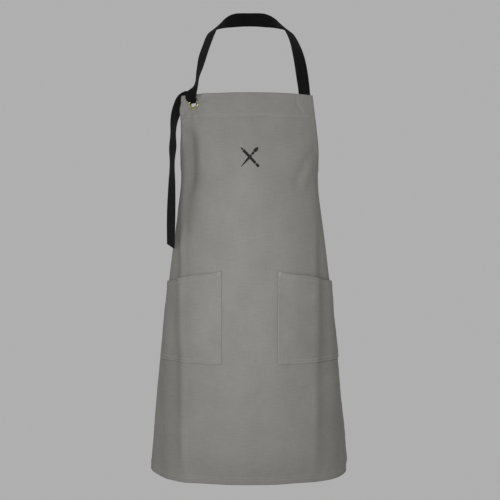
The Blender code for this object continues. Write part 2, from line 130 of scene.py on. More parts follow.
# --------------------------------------------------------------------------------------------- finishes


class Nodes:
    """A short way to lay out a material's nodes."""

    def __init__(self, name: str) -> None:
        """Start a material with a Principled shader."""
        self.material = bpy.data.materials.new(name)
        self.material.use_nodes = True
        self.tree = self.material.node_tree
        self.shader = self.tree.nodes["Principled BSDF"]

    def add(self, kind: str, **settings: object) -> bpy.types.Node:
        """Add a node and set its properties."""
        node = self.tree.nodes.new("ShaderNode" + kind)
        for key, value in settings.items():
            setattr(node, key, value)
        return node

    def feed(self, node: bpy.types.Node, socket: int | str, value: object) -> None:
        """Link a socket or set a value on a node's input."""
        if isinstance(value, bpy.types.NodeSocket):
            self.tree.links.new(value, node.inputs[socket])
        else:
            node.inputs[socket].default_value = value

    def math(self, operation: str, first: object, second: object = 0.0) -> bpy.types.NodeSocket:
        """The result of a Math node."""
        node = self.add("Math", operation=operation)
        self.feed(node, 0, first)
        self.feed(node, 1, second)
        return node.outputs[0]

    def weave_axes(self) -> tuple[bpy.types.NodeSocket, bpy.types.NodeSocket]:
        """The cloth's own two directions, in metres."""
        split = self.add("SeparateXYZ")
        self.feed(split, 0, self.add("UVMap", uv_map=WEAVE_UV).outputs["UV"])
        return split.outputs["X"], split.outputs["Y"]

    def stretched_noise(
        self, across: object, along: object, scale: tuple[float, float], detail: float = 2.0
    ) -> bpy.types.NodeSocket:
        """Noise with its own scale in each of the cloth's directions.

        Args:
            across: the first coordinate.
            along: the second coordinate.
            scale: how many features a metre in each.
            detail: octaves of the noise.

        Returns:
            The noise's value socket.
        """
        joined = self.add("CombineXYZ")
        self.feed(joined, "X", self.math("MULTIPLY", across, scale[0]))
        self.feed(joined, "Y", self.math("MULTIPLY", along, scale[1]))
        texture = self.add("TexNoise", noise_dimensions="2D")
        self.feed(texture, "Vector", joined.outputs[0])
        self.feed(texture, "Scale", 1.0)
        self.feed(texture, "Detail", detail)
        return texture.outputs["Fac"]

    def spread(self, value: object, low: float, high: float) -> bpy.types.NodeSocket:
        """Stretch a 0 to 1 value over another range."""
        node = self.add("MapRange")
        self.feed(node, "Value", value)
        self.feed(node, "To Min", low)
        self.feed(node, "To Max", high)
        return node.outputs[0]

    def shade(self, colour: tuple[float, float, float], factor: object) -> bpy.types.NodeSocket:
        """A colour made lighter or darker by a factor."""
        node = self.add("VectorMath", operation="SCALE")
        self.feed(node, 0, colour)
        self.feed(node, "Scale", factor)
        return node.outputs[0]

    def bump(self, height: object, distance: float, strength: float = 1.0) -> None:
        """Give the shader a bump of that real height."""
        node = self.add("Bump")
        self.feed(node, "Height", height)
        self.feed(node, "Distance", distance)
        self.feed(node, "Strength", strength)
        self.feed(self.shader, "Normal", node.outputs[0])

    def constants(self, **values: float) -> None:
        """Set the shader's own sockets, spelled with underscores."""
        for key, value in values.items():
            self.shader.inputs[key.replace("_", " ")].default_value = value


@dataclass(frozen=True)
class CanvasFinish:
    """Piece-dyed plain-weave cotton canvas with slubs, a dry hand and a little fuzz."""

    colour: tuple[float, float, float] = (0.287, 0.281, 0.263)
    thread_pitch: float = 0.0011
    weave_height: float = 0.00022
    slub: float = 0.075
    mottle: float = 0.10

    def make(self, name: str) -> bpy.types.Material:
        """Build the material.

        Args:
            name: the material's name.

        Returns:
            The material, patterned on the piece's weave map.
        """
        nodes = Nodes(name)
        across, down = nodes.weave_axes()
        turn = math.pi / self.thread_pitch
        warp = nodes.math("SINE", nodes.math("MULTIPLY", across, turn))
        weft = nodes.math("SINE", nodes.math("MULTIPLY", down, turn))
        checks = nodes.math("MULTIPLY", warp, weft)
        weft_slub = nodes.stretched_noise(across, down, (38.0, 620.0))
        warp_slub = nodes.stretched_noise(down, across, (30.0, 560.0))
        slubs = nodes.math("ADD", weft_slub, nodes.math("MULTIPLY", warp_slub, 0.6))
        mottling = nodes.stretched_noise(across, down, (16.0, 13.0), 4.0)
        fuzz = nodes.stretched_noise(across, down, (2400.0, 2400.0), 1.0)
        tone = nodes.math("ADD", nodes.spread(slubs, 1.0 - self.slub * 1.6, 1.0 + self.slub * 1.2),
                          nodes.spread(mottling, -self.mottle, self.mottle))
        # the weave's pits are darker in colour where its bump is low: painted shade
        pit_shade = nodes.spread(checks, -0.045, 0.03)
        tone = nodes.math("ADD", tone, pit_shade)
        # the tone attribute holds a little random tone and the strokes of painted shade
        tone = nodes.math("MULTIPLY", tone, nodes.add("Attribute", attribute_name=TONE).outputs["Fac"])
        nodes.feed(nodes.shader, "Base Color", nodes.shade(self.colour, tone))
        nodes.feed(nodes.shader, "Roughness", nodes.spread(mottling, 0.88, 0.98))
        nodes.constants(Specular_IOR_Level=0.12, Sheen_Weight=0.02, Sheen_Roughness=0.55)
        height = nodes.math("ADD", nodes.math("MULTIPLY", checks, 0.5), nodes.math("MULTIPLY", slubs, 1.1))
        height = nodes.math("ADD", height, nodes.math("MULTIPLY", fuzz, 0.5))
        nodes.bump(height, self.weave_height)
        return nodes.material


@dataclass(frozen=True)
class WebbingFinish:
    """Black cotton webbing in a chevron twill, with plain selvedges; its ribs are lighter on top and darker
    in their grooves, which is painted shade.
    """

    colour: tuple[float, float, float] = (0.0052, 0.0051, 0.0051)
    rib_pitch: float = 0.0017
    rib_height: float = 0.00030
    chevrons: float = 4.0
    width: float = 0.032

    def make(self, name: str) -> bpy.types.Material:
        """Build the material on a strap's own weave map, which has its edge at 0 and its end at 0."""
        nodes = Nodes(name)
        across, along = nodes.weave_axes()
        band = nodes.math("MULTIPLY", across, self.chevrons / self.width)
        fold = nodes.math("PINGPONG", band, 1.0)
        slant = nodes.math("MULTIPLY", fold, 0.9 * self.width / self.chevrons)
        phase = nodes.math("MULTIPLY", nodes.math("ADD", along, slant), 2.0 * math.pi / self.rib_pitch)
        ribs = nodes.math("SINE", phase)
        picks = nodes.math("SINE", nodes.math("MULTIPLY", across, 2.0 * math.pi / 0.0011))
        lint = nodes.stretched_noise(across, along, (1500.0, 420.0), 3.0)
        fading = nodes.stretched_noise(across, along, (45.0, 22.0), 3.0)
        # ribs lighter on top and darker in their grooves, where the bump is low: painted shade; the lint and
        # fading are the webbing's own tone
        tone = nodes.math("ADD", nodes.spread(ribs, 0.85, 1.12), nodes.spread(lint, -0.35, 0.40))
        tone = nodes.math("ADD", tone, nodes.spread(fading, -0.18, 0.22))
        nodes.feed(nodes.shader, "Base Color", nodes.shade(self.colour, tone))
        nodes.feed(nodes.shader, "Roughness", nodes.spread(lint, 0.62, 0.86))
        nodes.constants(Specular_IOR_Level=0.13, Sheen_Weight=0.008, Sheen_Roughness=0.45)
        height = nodes.math("ADD", nodes.math("MULTIPLY", ribs, 0.5), nodes.math("MULTIPLY", picks, 0.18))
        height = nodes.math("ADD", height, nodes.math("MULTIPLY", lint, 0.8))
        nodes.bump(height, self.rib_height)
        return nodes.material


@dataclass(frozen=True)
class BrassFinish:
    """Pressed antique brass, bright in places and browned by tarnish in others, in a random pattern."""

    bright: tuple[float, float, float] = (0.58, 0.55, 0.34)
    brown: tuple[float, float, float] = (0.11, 0.10, 0.04)

    def make(self, name: str) -> bpy.types.Material:
        """Build the material."""
        nodes = Nodes(name)
        coordinates = nodes.add("TexCoord").outputs["Object"]
        tarnish = nodes.add("TexNoise")
        nodes.feed(tarnish, "Vector", coordinates)
        nodes.feed(tarnish, "Scale", 210.0)
        nodes.feed(tarnish, "Detail", 5.0)
        scratch = nodes.add("TexNoise")
        nodes.feed(scratch, "Vector", coordinates)
        nodes.feed(scratch, "Scale", 1400.0)
        ramp = nodes.add("ValToRGB")
        nodes.feed(ramp, 0, tarnish.outputs["Fac"])
        ramp.color_ramp.elements[0].position, ramp.color_ramp.elements[1].position = 0.30, 0.55
        ramp.color_ramp.elements[0].color = (*self.brown, 1.0)
        ramp.color_ramp.elements[1].color = (*self.bright, 1.0)
        nodes.feed(nodes.shader, "Base Color", ramp.outputs["Color"])
        nodes.feed(nodes.shader, "Roughness", nodes.spread(tarnish.outputs["Fac"], 0.42, 0.20))
        nodes.constants(Metallic=1.0)
        nodes.bump(scratch.outputs["Fac"], 0.00004)
        return nodes.material


@dataclass(frozen=True)
class ThreadFinish:
    """Spun thread with a twist that shows as fine slanting plies, lighter on their crowns and darker between
    them in painted shade.
    """

    colour: tuple[float, float, float]
    ply_pitch: float = 0.0005

    def make(self, name: str) -> bpy.types.Material:
        """Build the material."""
        nodes = Nodes(name)
        split = nodes.add("SeparateXYZ")
        nodes.feed(split, 0, nodes.add("TexCoord").outputs["Object"])
        slant = nodes.math("ADD", split.outputs["X"], split.outputs["Z"])
        plies = nodes.math("SINE", nodes.math("MULTIPLY", slant, 2.0 * math.pi / self.ply_pitch))
        # plies lighter on their crowns and darker between them, with the bump: painted shade
        nodes.feed(nodes.shader, "Base Color", nodes.shade(self.colour, nodes.spread(plies, 0.92, 1.06)))
        nodes.constants(Roughness=0.62, Specular_IOR_Level=0.35, Sheen_Weight=0.05)
        nodes.bump(plies, 0.00008)
        return nodes.material


# ------------------------------------------------------------------------------------------- worn form


@dataclass(frozen=True)
class Stroke:
    """A soft-edged stroke between two flat points, for folds in the cloth and for painted shade in its
    colour.
    """

    start: tuple[float, float]
    end: tuple[float, float]
    height: float
    width: float
    lean: float = 0.0

    def relief(self, u: np.ndarray, v: np.ndarray) -> np.ndarray:
        """What it adds at flat points; a lean makes its one flank steeper than the other."""
        along_u, along_v = self.end[0] - self.start[0], self.end[1] - self.start[1]
        length = math.hypot(along_u, along_v)
        du, dv = u - self.start[0], v - self.start[1]
        t = (du * along_u + dv * along_v) / length ** 2
        apart = (dv * along_u - du * along_v) / length
        width = self.width * np.where(apart > 0.0, 1.0 + self.lean, 1.0 - self.lean)
        fade = ease(-0.18, 0.22, t) * (1.0 - ease(0.78, 1.18, t))
        return self.height * np.exp(-(apart / width) ** 2) * fade


@dataclass
class WornForm:
    """The shape the canvas takes when worn: rounded sections that widen from the waist to the hem."""

    length: float = 0.866
    skirt_half: float = 0.360
    bib_half: float = 0.156
    armhole: float = 0.270
    bib_top: float = -0.210
    waist_drop: float = 0.200
    half_widths: tuple[float, float, float] = (0.165, 0.1555, 0.234)
    half_depths: tuple[float, float, float] = (0.085, 0.100, 0.200)
    roundness: tuple[float, float] = (2.0, 2.35)
    front: float = -0.205
    bib_lean: float = 0.015
    bib_shift: float = -0.006
    side_rise: float = 0.010
    eyelet: tuple[float, float] = (-0.125, 0.020)
    flat_radius: float = 0.034
    flat_fade: float = 0.062
    rumples: tuple[float, float, float] = (0.0016, 0.0007, 0.00022)
    skirt_wave: float = 0.0022
    flute_depth: float = 0.0018
    hem_tuck: float = 0.0140
    puckers: tuple[float, float, float] = (0.00060, 0.00035, 0.00040)
    turned_depth: float = 0.00075
    eyelet_rays: float = 0.0011
    facing: float = 0.050
    hem: float = 0.015
    levels: int = 300
    steps: int = 420
    creases: Sequence[Stroke] = field(default_factory=tuple)
    # strokes of painted shade in the canvas's colour
    painted_shade: Sequence[Stroke] = field(default_factory=tuple)

    def __post_init__(self) -> None:
        """Tabulate the sections and find the eyelet's middle and directions."""
        self._noise = [LatticeNoise(seed) for seed in (3, 11, 29, 41)]
        self._table()
        point, normal = self.on_section(
            np.array([self.eyelet[0] + self.bib_shift * (1 - ease(0, self.armhole, self.eyelet[1]))]),
            np.array([self.bib_top - self.eyelet[1]]),
        )
        self.eyelet_point, self.eyelet_normal = point[0], normal[0]
        self.eyelet_along = np.array([-normal[0][1], normal[0][0], 0.0])

    def _table(self) -> None:
        """Lay out points at even distances round half of each section."""
        self._z = np.linspace(self.bib_top - self.length - 0.03, self.bib_top + 0.03, self.levels)
        self._reach = np.linspace(0.0, 0.74, self.steps)
        turn = np.linspace(0.0, math.pi, 361)
        xs, ys = [], []
        for z in self._z:
            wide, deep, power, front = self._sizes(z)
            x = wide * np.abs(np.sin(turn)) ** (2.0 / power)
            y = front + deep * (1.0 - np.sign(np.cos(turn)) * np.abs(np.cos(turn)) ** (2.0 / power))
            along = np.concatenate(([0.0], np.cumsum(np.hypot(np.diff(x), np.diff(y)))))
            past = np.maximum(self._reach - along[-1], 0.0)
            xs.append(np.interp(self._reach, along, x) - past)
            ys.append(np.interp(self._reach, along, y))
        self._x, self._y = np.array(xs), np.array(ys)

    def _sizes(self, z: float) -> tuple[float, float, float, float]:
        """Half width, half depth, roundness and front of the section at height z."""
        drop = self.bib_top - z
        above = float(ease(0.0, self.waist_drop, drop))
        below = (drop - self.waist_drop) / (self.length - self.waist_drop)
        below = 0.5 * (below + math.sqrt(below * below + 0.0016))
        flare = below * (1.35 - 0.35 * below)
        chest, waist, hem = self.half_widths
        wide = chest + (waist - chest) * above + (hem - waist) * flare
        chest, waist, hem = self.half_depths
        deep = chest + (waist - chest) * above + (hem - waist) * flare
        power = self.roundness[0] + (self.roundness[1] - self.roundness[0]) * float(ease(0.2, 0.8, below))
        return wide, deep, power, self.front + self.bib_lean * (1.0 - float(ease(0.0, 0.16, drop)))

    def _look_up(self, table: np.ndarray, reach: np.ndarray, z: np.ndarray) -> np.ndarray:
        """Read a table between its levels and steps."""
        row = np.clip((z - self._z[0]) / (self._z[1] - self._z[0]), 0, self.levels - 1.001)
        column = np.clip(reach / (self._reach[1] - self._reach[0]), 0, self.steps - 1.001)
        i, j = row.astype(int), column.astype(int)
        a, b = row - i, column - j
        low = table[i, j] * (1 - b) + table[i, j + 1] * b
        high = table[i + 1, j] * (1 - b) + table[i + 1, j + 1] * b
        return low * (1 - a) + high * a

    def on_section(self, u: np.ndarray, z: np.ndarray) -> tuple[np.ndarray, np.ndarray]:
        """Points of the smooth form and its level normals.

        Args:
            u: distances round the section from the front, negative towards -X.
            z: heights.

        Returns:
            The points and the unit normals, one row each.
        """
        side, reach, step = np.where(u < 0, -1.0, 1.0), np.abs(u), 0.003
        x = side * self._look_up(self._x, reach, z)
        y = self._look_up(self._y, reach, z)
        tx = self._look_up(self._x, reach + step, z) - np.where(
            reach > step, self._look_up(self._x, np.maximum(reach - step, 0), z),
            -self._look_up(self._x, step - np.minimum(reach, step), z))
        ty = self._look_up(self._y, reach + step, z) - np.where(
            reach > step, self._look_up(self._y, np.maximum(reach - step, 0), z),
            self._look_up(self._y, step - np.minimum(reach, step), z))
        size = np.hypot(tx, ty)
        normal = np.stack([side * ty / size, -tx / size, np.zeros_like(x)], axis=-1)
        return np.stack([x, y, z], axis=-1), normal

    def half_width(self, v: np.ndarray) -> np.ndarray:
        """Half the width of the flat cut at v: an armhole curve, then a straight side."""
        t = np.clip(np.asarray(v, dtype=float) / self.armhole, 0.0, 1.0)
        return self.bib_half + (self.skirt_half - self.bib_half) * (0.22 * t + 0.78 * t ** 3)

    def half_round(self, v: float) -> float:
        """The distance from the front to the back round half of the section at v."""
        z = self.bib_top - v
        reach = np.linspace(0.2, 0.74, 2000)
        x = self._look_up(self._x, reach, np.full_like(reach, z))
        return float(reach[np.argmax(x <= 0.0)])

    def relief(self, u: np.ndarray, v: np.ndarray) -> np.ndarray:
        """How far folds, drag lines and seam puckers lift the canvas off the smooth form."""
        coarse, middle, fine, ripple = self._noise
        skirt = ease(0.16, 0.50, v)
        height = self.rumples[0] * coarse.at(u * 9.0 + 5.3, v * 6.0 + 2.1) * (0.5 + 0.5 * skirt)
        height = height + self.rumples[1] * middle.at(u * 26.0 + 9.0, v * 18.0)
        height = height + self.rumples[2] * fine.at(u * 75.0, v * 60.0 + 4.0)
        wave = np.sin(u * 34.0 + 0.9 + 0.8 * np.sin(v * 4.0))
        height = height + self.skirt_wave * wave * ease(0.50, 0.86, v) * ease(0.02, 0.12, np.abs(u))
        reach = np.abs(u)
        flute = np.sin(reach * 52.0 + np.sign(u) * 0.7 + 1.6 * coarse.at(u * 4.0, v * 3.0 + 11.0))
        height = height + self.flute_depth * flute * ease(0.19, 0.30, reach) * ease(0.36, 0.84, v)
        tuck = self.hem_tuck * ease(self.length - 0.085, self.length + 0.02, v)
        height = height - tuck * (1.0 - ease(0.10, 0.20, reach))
        for crease in self.creases:
            height = height + crease.relief(u, v)
        tug = ripple.at(u * 95.0, v * 3.0 + 7.0)
        height = height + self.puckers[0] * tug * bell(v - (self.length - self.hem), 0.013)
        height = height + self.puckers[1] * tug * bell(v - self.facing, 0.012)
        pull = ripple.at(v * 85.0 + 13.0, u * 3.0)
        edge = self.half_width(v) - np.abs(u)
        height = height + self.puckers[2] * pull * bell(edge - 0.012, 0.011)
        hem_fold = ease(0.014, 0.011, edge) + ease(self.length - self.hem - 0.002, self.length - self.hem, v)
        hem_fold = hem_fold + ease(self.facing + 0.002, self.facing - 0.001, v)
        height = height + self.turned_depth * np.clip(hem_fold, 0.0, 1.0)
        away = np.hypot(u - self.eyelet[0], v - self.eyelet[1])
        angle = np.arctan2(v - self.eyelet[1], u - self.eyelet[0])
        rays = np.sin(angle * 9.0 + 0.7) * ease(0.016, 0.030, away) * (1.0 - ease(0.035, 0.085, away))
        return height * ease(0.016, 0.028, away) + self.eyelet_rays * rays

    def tone(self, u: np.ndarray, v: np.ndarray) -> np.ndarray:
        """How light the cloth's colour is: near 1 with a little random tone, and less along the strokes of
        painted shade.
        """
        tone = 1.0 + 0.035 * self._noise[0].at(u * 13.0 + 31.0, v * 9.0)
        # each stroke darkens the colour: painted shade
        for stroke in self.painted_shade:
            tone = tone + stroke.relief(u, v)
        return np.clip(tone, 0.35, 1.2)

    def _raised(self, u: np.ndarray, v: np.ndarray) -> np.ndarray:
        """Points of the creased canvas's middle surface."""
        rise = self.side_rise * (np.abs(u) / self.skirt_half) ** 4 * (np.maximum(v, 0) / self.length) ** 2
        z = self.bib_top - v + rise
        slide = self.bib_shift * (1.0 - ease(0.0, self.armhole, v))
        point, normal = self.on_section(u + slide, z)
        relief = self.relief(u, v)
        point = point + normal * relief[..., None]
        away = np.hypot(u - self.eyelet[0], v - self.eyelet[1])
        flat = (1.0 - ease(self.flat_radius, self.flat_fade, away))[..., None]
        plane = self.eyelet_point + self.eyelet_along * (u - self.eyelet[0])[..., None]
        plane = plane + np.array([0.0, 0.0, 1.0]) * (self.eyelet[1] - v)[..., None]
        plane = plane + self.eyelet_normal * relief[..., None]
        return point + (plane - point) * flat

    def place(self, u: np.ndarray, v: np.ndarray, lift: np.ndarray | float = 0.0) -> np.ndarray:
        """Where flat points lie when worn.

        Args:
            u: distances across the cut from its middle.
            v: distances down the cut from the bib's top.
            lift: how far outside the canvas's middle surface.

        Returns:
            The points, one row each.
        """
        point, normal = self.frame_at(u, v)
        return point + normal * np.broadcast_to(np.asarray(lift, dtype=float), np.shape(u))[..., None]

    def frame_at(self, u: np.ndarray, v: np.ndarray) -> tuple[np.ndarray, np.ndarray]:
        """Points of the middle surface and its outward normals."""
        u, v = np.asarray(u, dtype=float), np.asarray(v, dtype=float)
        step = 0.0012
        point = self._raised(u, v)
        across = self._raised(u + step, v) - self._raised(u - step, v)
        down = self._raised(u, v + step) - self._raised(u, v - step)
        normal = np.cross(down, across)
        normal = normal / np.linalg.norm(normal, axis=-1, keepdims=True)
        return point, normal

    def at_eyelet(self, along: float, up: float, out: float) -> np.ndarray:
        """A point measured from the eyelet's middle: along the canvas towards +X, up, and out of it."""
        return (self.eyelet_point + self.eyelet_along * along + np.array([0.0, 0.0, up])
                + self.eyelet_normal * out)


# ---------------------------------------------------------------------------------------- mesh making


def grid_piece(name: str, points: np.ndarray, flat: np.ndarray) -> bpy.types.Object:
    """A sheet whose vertex (row, column) lies at points[row, column].

    Args:
        name: the piece's name.
        points: places, shaped (rows, columns, 3).
        flat: the same points on the flat cut, shaped (rows, columns, 2), kept as the weave map.

    Returns:
        The new object, linked to the scene.
    """
    rows, columns = points.shape[:2]
    bm = bmesh.new()
    bmesh.ops.create_grid(bm, x_segments=columns - 1, y_segments=rows - 1, size=0.5)
    index = {}
    for vert in bm.verts:
        place = (round((vert.co.y + 0.5) * (rows - 1)), round((vert.co.x + 0.5) * (columns - 1)))
        index[vert] = place
    layer = bm.loops.layers.uv.new(WEAVE_UV)
    for face in bm.faces:
        for loop in face.loops:
            loop[layer].uv = flat[index[loop.vert]]
    for vert, place in index.items():
        vert.co = points[place]
    return finished(name, bm)


def tint(piece: bpy.types.Object, tone: np.ndarray) -> None:
    """Give each vertex of a cloth piece its tone, painted shade included.

    Args:
        piece: a sheet made by grid_piece.
        tone: the tones in the sheet's rows and columns.
    """
    layer = piece.data.attributes.new(TONE, "FLOAT", "POINT")
    layer.data.foreach_set("value", np.asarray(tone, dtype=np.float32).ravel())


def finished(name: str, bm: bmesh.types.BMesh, smooth_angle: float = 50.0) -> bpy.types.Object:
    """Turn a bmesh into a smooth-shaded object at the origin."""
    mesh = bpy.data.meshes.new(name)
    bm.to_mesh(mesh)
    bm.free()
    mesh.shade_smooth()
    mesh.set_sharp_from_angle(angle=math.radians(smooth_angle))
    piece = bpy.data.objects.new(name, mesh)
    bpy.context.scene.collection.objects.link(piece)
    return piece


def thicken(piece: bpy.types.Object, thickness: float, rounding: float = 0.0) -> None:
    """Give a sheet its thickness about its middle and, where asked, rounded edges."""
    solid = piece.modifiers.new("thickness", "SOLIDIFY")
    solid.thickness = thickness
    solid.offset = 0.0
    if rounding > 0.0:
        bevel = piece.modifiers.new("edges", "BEVEL")
        bevel.width = rounding
        bevel.segments = 2
        bevel.limit_method = "ANGLE"
        bevel.angle_limit = math.radians(50.0)


def dress(piece: bpy.types.Object, material: bpy.types.Material) -> bpy.types.Object:
    """Give a piece its material."""
    piece.data.materials.clear()
    piece.data.materials.append(material)
    return piece


@dataclass(frozen=True)
class Station:
    """A place on a strap's middle line, the way its outer face looks, and how gathered it is there.

    The curl is how far its two edges bend back from its middle.
    """

    point: Sequence[float]
    face: Sequence[float]
    share: float = 1.0
    pleat: float = 0.0
    curl: float = 0.0


@dataclass
class Strap:
    """A length of webbing along stations, gathered where their share of its width is under 1."""

    name: str
    stations: Sequence[Station]
    width: float = 0.032
    thickness: float = 0.0015
    pitch: float = 0.0030
    columns: int = 10
    cut: float = 0.0
    start_at: float = 0.0
    pleats: float = 2.0

    def _through(self, knots: np.ndarray, values: np.ndarray, fine: np.ndarray) -> np.ndarray:
        """Smooth values between the stations."""
        slopes = np.gradient(values, knots, axis=0)
        cell = np.clip(np.searchsorted(knots, fine, side="right") - 1, 0, len(knots) - 2)
        span = (knots[cell + 1] - knots[cell])[:, None]
        t = (fine - knots[cell])[:, None] / span
        start = (2 * t ** 3 - 3 * t ** 2 + 1) * values[cell] + (t ** 3 - 2 * t ** 2 + t) * span * slopes[cell]
        end = (3 * t ** 2 - 2 * t ** 3) * values[cell + 1] + (t ** 3 - t ** 2) * span * slopes[cell + 1]
        return start + end

    def line(self) -> tuple[np.ndarray, np.ndarray, np.ndarray]:
        """The middle line, sampled evenly.

        Returns:
            The distance along to each sample, the points, and a row of face, share, pleat and curl for each.
        """
        places = np.array([station.point for station in self.stations], dtype=float)
        facts = np.array([[*station.face, station.share, station.pleat, station.curl]
                          for station in self.stations])
        knots = np.concatenate(([0.0], np.cumsum(np.linalg.norm(np.diff(places, axis=0), axis=1))))
        fine = np.linspace(0.0, knots[-1], 40 * len(places))
        curve, looks = self._through(knots, places, fine), self._through(knots, facts, fine)
        along = np.concatenate(([0.0], np.cumsum(np.linalg.norm(np.diff(curve, axis=0), axis=1))))
        even = np.linspace(0.0, along[-1], max(4, round(along[-1] / self.pitch)) + 1)
        points = np.stack([np.interp(even, along, curve[:, k]) for k in range(3)], axis=1)
        return even, points, np.stack([np.interp(even, along, looks[:, k]) for k in range(6)], axis=1)

    def length(self) -> float:
        """The strap's length along its middle."""
        return float(self.line()[0][-1])

    def build(self, material: bpy.types.Material) -> bpy.types.Object:
        """Make the strap's mesh and dress it.

        Args:
            material: the webbing's finish.

        Returns:
            The piece, not yet riding on anything.
        """
        even, points, looks = self.line()
        tangent = np.gradient(points, axis=0)
        tangent = tangent / np.linalg.norm(tangent, axis=1, keepdims=True)
        across = np.cross(tangent, looks[:, :3])
        across = across / np.linalg.norm(across, axis=1, keepdims=True)
        out = np.cross(across, tangent)
        place = np.linspace(-0.5, 0.5, self.columns + 1)
        reach = place[None, :, None] * self.width * looks[:, 3, None, None]
        spread = points[:, None] + across[:, None] * reach
        fold = np.cos(place * 2.0 * math.pi * self.pleats) * (1.0 - 0.35 * np.abs(place))
        spread = spread + out[:, None] * (fold[None, :, None] * looks[:, 4, None, None])
        spread = spread - out[:, None] * ((2.0 * place[None, :, None]) ** 2 * looks[:, 5, None, None])
        slant = self.cut * ease(0.90, 1.0, even / even[-1])[:, None] * place[None, :]
        spread = spread + tangent[:, None] * slant[..., None]
        flat = np.stack(np.broadcast_arrays(
            (place[None, :] + 0.5) * self.width, even[:, None] + slant + self.start_at), axis=-1)
        piece = grid_piece(self.name, spread, flat)
        thicken(piece, self.thickness, self.thickness * 0.3)
        return dress(piece, material)


@dataclass
class StitchRun:
    """Lock stitches along a line on the flat cut."""

    corners: Sequence[tuple[float, float]]
    lift: float | Callable[[np.ndarray, np.ndarray], np.ndarray]
    length: float = 0.0030
    gap: float = 0.0008
    radius: float = 0.00042

    def seats(self, form: WornForm) -> list[Matrix]:
        """The place and turn of each stitch.

        Args:
            form: the worn form that the line lies on.

        Returns:
            A matrix for each stitch, from a unit ball to its long low bead.
        """
        corners = np.array(self.corners, dtype=float)
        along = np.concatenate(([0.0], np.cumsum(np.linalg.norm(np.diff(corners, axis=0), axis=1))))
        count = max(1, int(along[-1] / (self.length + self.gap)))
        middle = (np.arange(count) + 0.5) * along[-1] / count
        spots = [middle - self.length / 2, middle, middle + self.length / 2]
        places = []
        for spot in spots:
            u, v = np.interp(spot, along, corners[:, 0]), np.interp(spot, along, corners[:, 1])
            lift = self.lift(u, v) if callable(self.lift) else np.full_like(u, self.lift)
            point, normal = form.frame_at(u, v)
            places.append(point + normal * lift[:, None])
        seats = []
        for start, centre, end, out in zip(places[0], places[1], places[2], normal):
            run = Vector(end - start).normalized()
            up = (Vector(out) - run * run.dot(Vector(out))).normalized()
            turn = Matrix((run, up.cross(run), up)).transposed().to_4x4()
            size = Matrix.Diagonal((self.length / 2, self.radius, self.radius * 0.8, 1.0))
            seats.append(Matrix.Translation(Vector(centre)) @ turn @ size)
        return seats


def beads(seats: Sequence[Matrix], batch: int = 40) -> bmesh.types.BMesh:
    """Many small rounded beads, one at each seat.

    Args:
        seats: matrices that turn a unit ball into each bead.
        batch: how many to make at a time.

    Returns:
        A bmesh that holds all of them.
    """
    whole, chunk = bmesh.new(), bpy.data.meshes.new("chunk")
    for first in range(0, len(seats), batch):
        bm = bmesh.new()
        for seat in seats[first:first + batch]:
            bmesh.ops.create_uvsphere(bm, u_segments=6, v_segments=4, radius=1.0, matrix=seat)
        bm.to_mesh(chunk)
        bm.free()
        whole.from_mesh(chunk)
    bpy.data.meshes.remove(chunk)
    return whole


def stitched_piece(name: str, form: WornForm, runs: Sequence[StitchRun],
                   material: bpy.types.Material) -> bpy.types.Object:
    """Sew several runs of stitches as one piece that rides with the canvas.

    Args:
        name: the piece's name.
        form: the worn form.
        runs: the runs to sew.
        material: the thread's finish.

    Returns:
        The piece.
    """
    bm = beads([seat for run in runs for seat in run.seats(form)])
    piece = finished(name, bm, 180.0)
    dress(piece, material)
    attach(piece, ROOT)
    return piece


# ------------------------------------------------------------------------------------- sub-assemblies


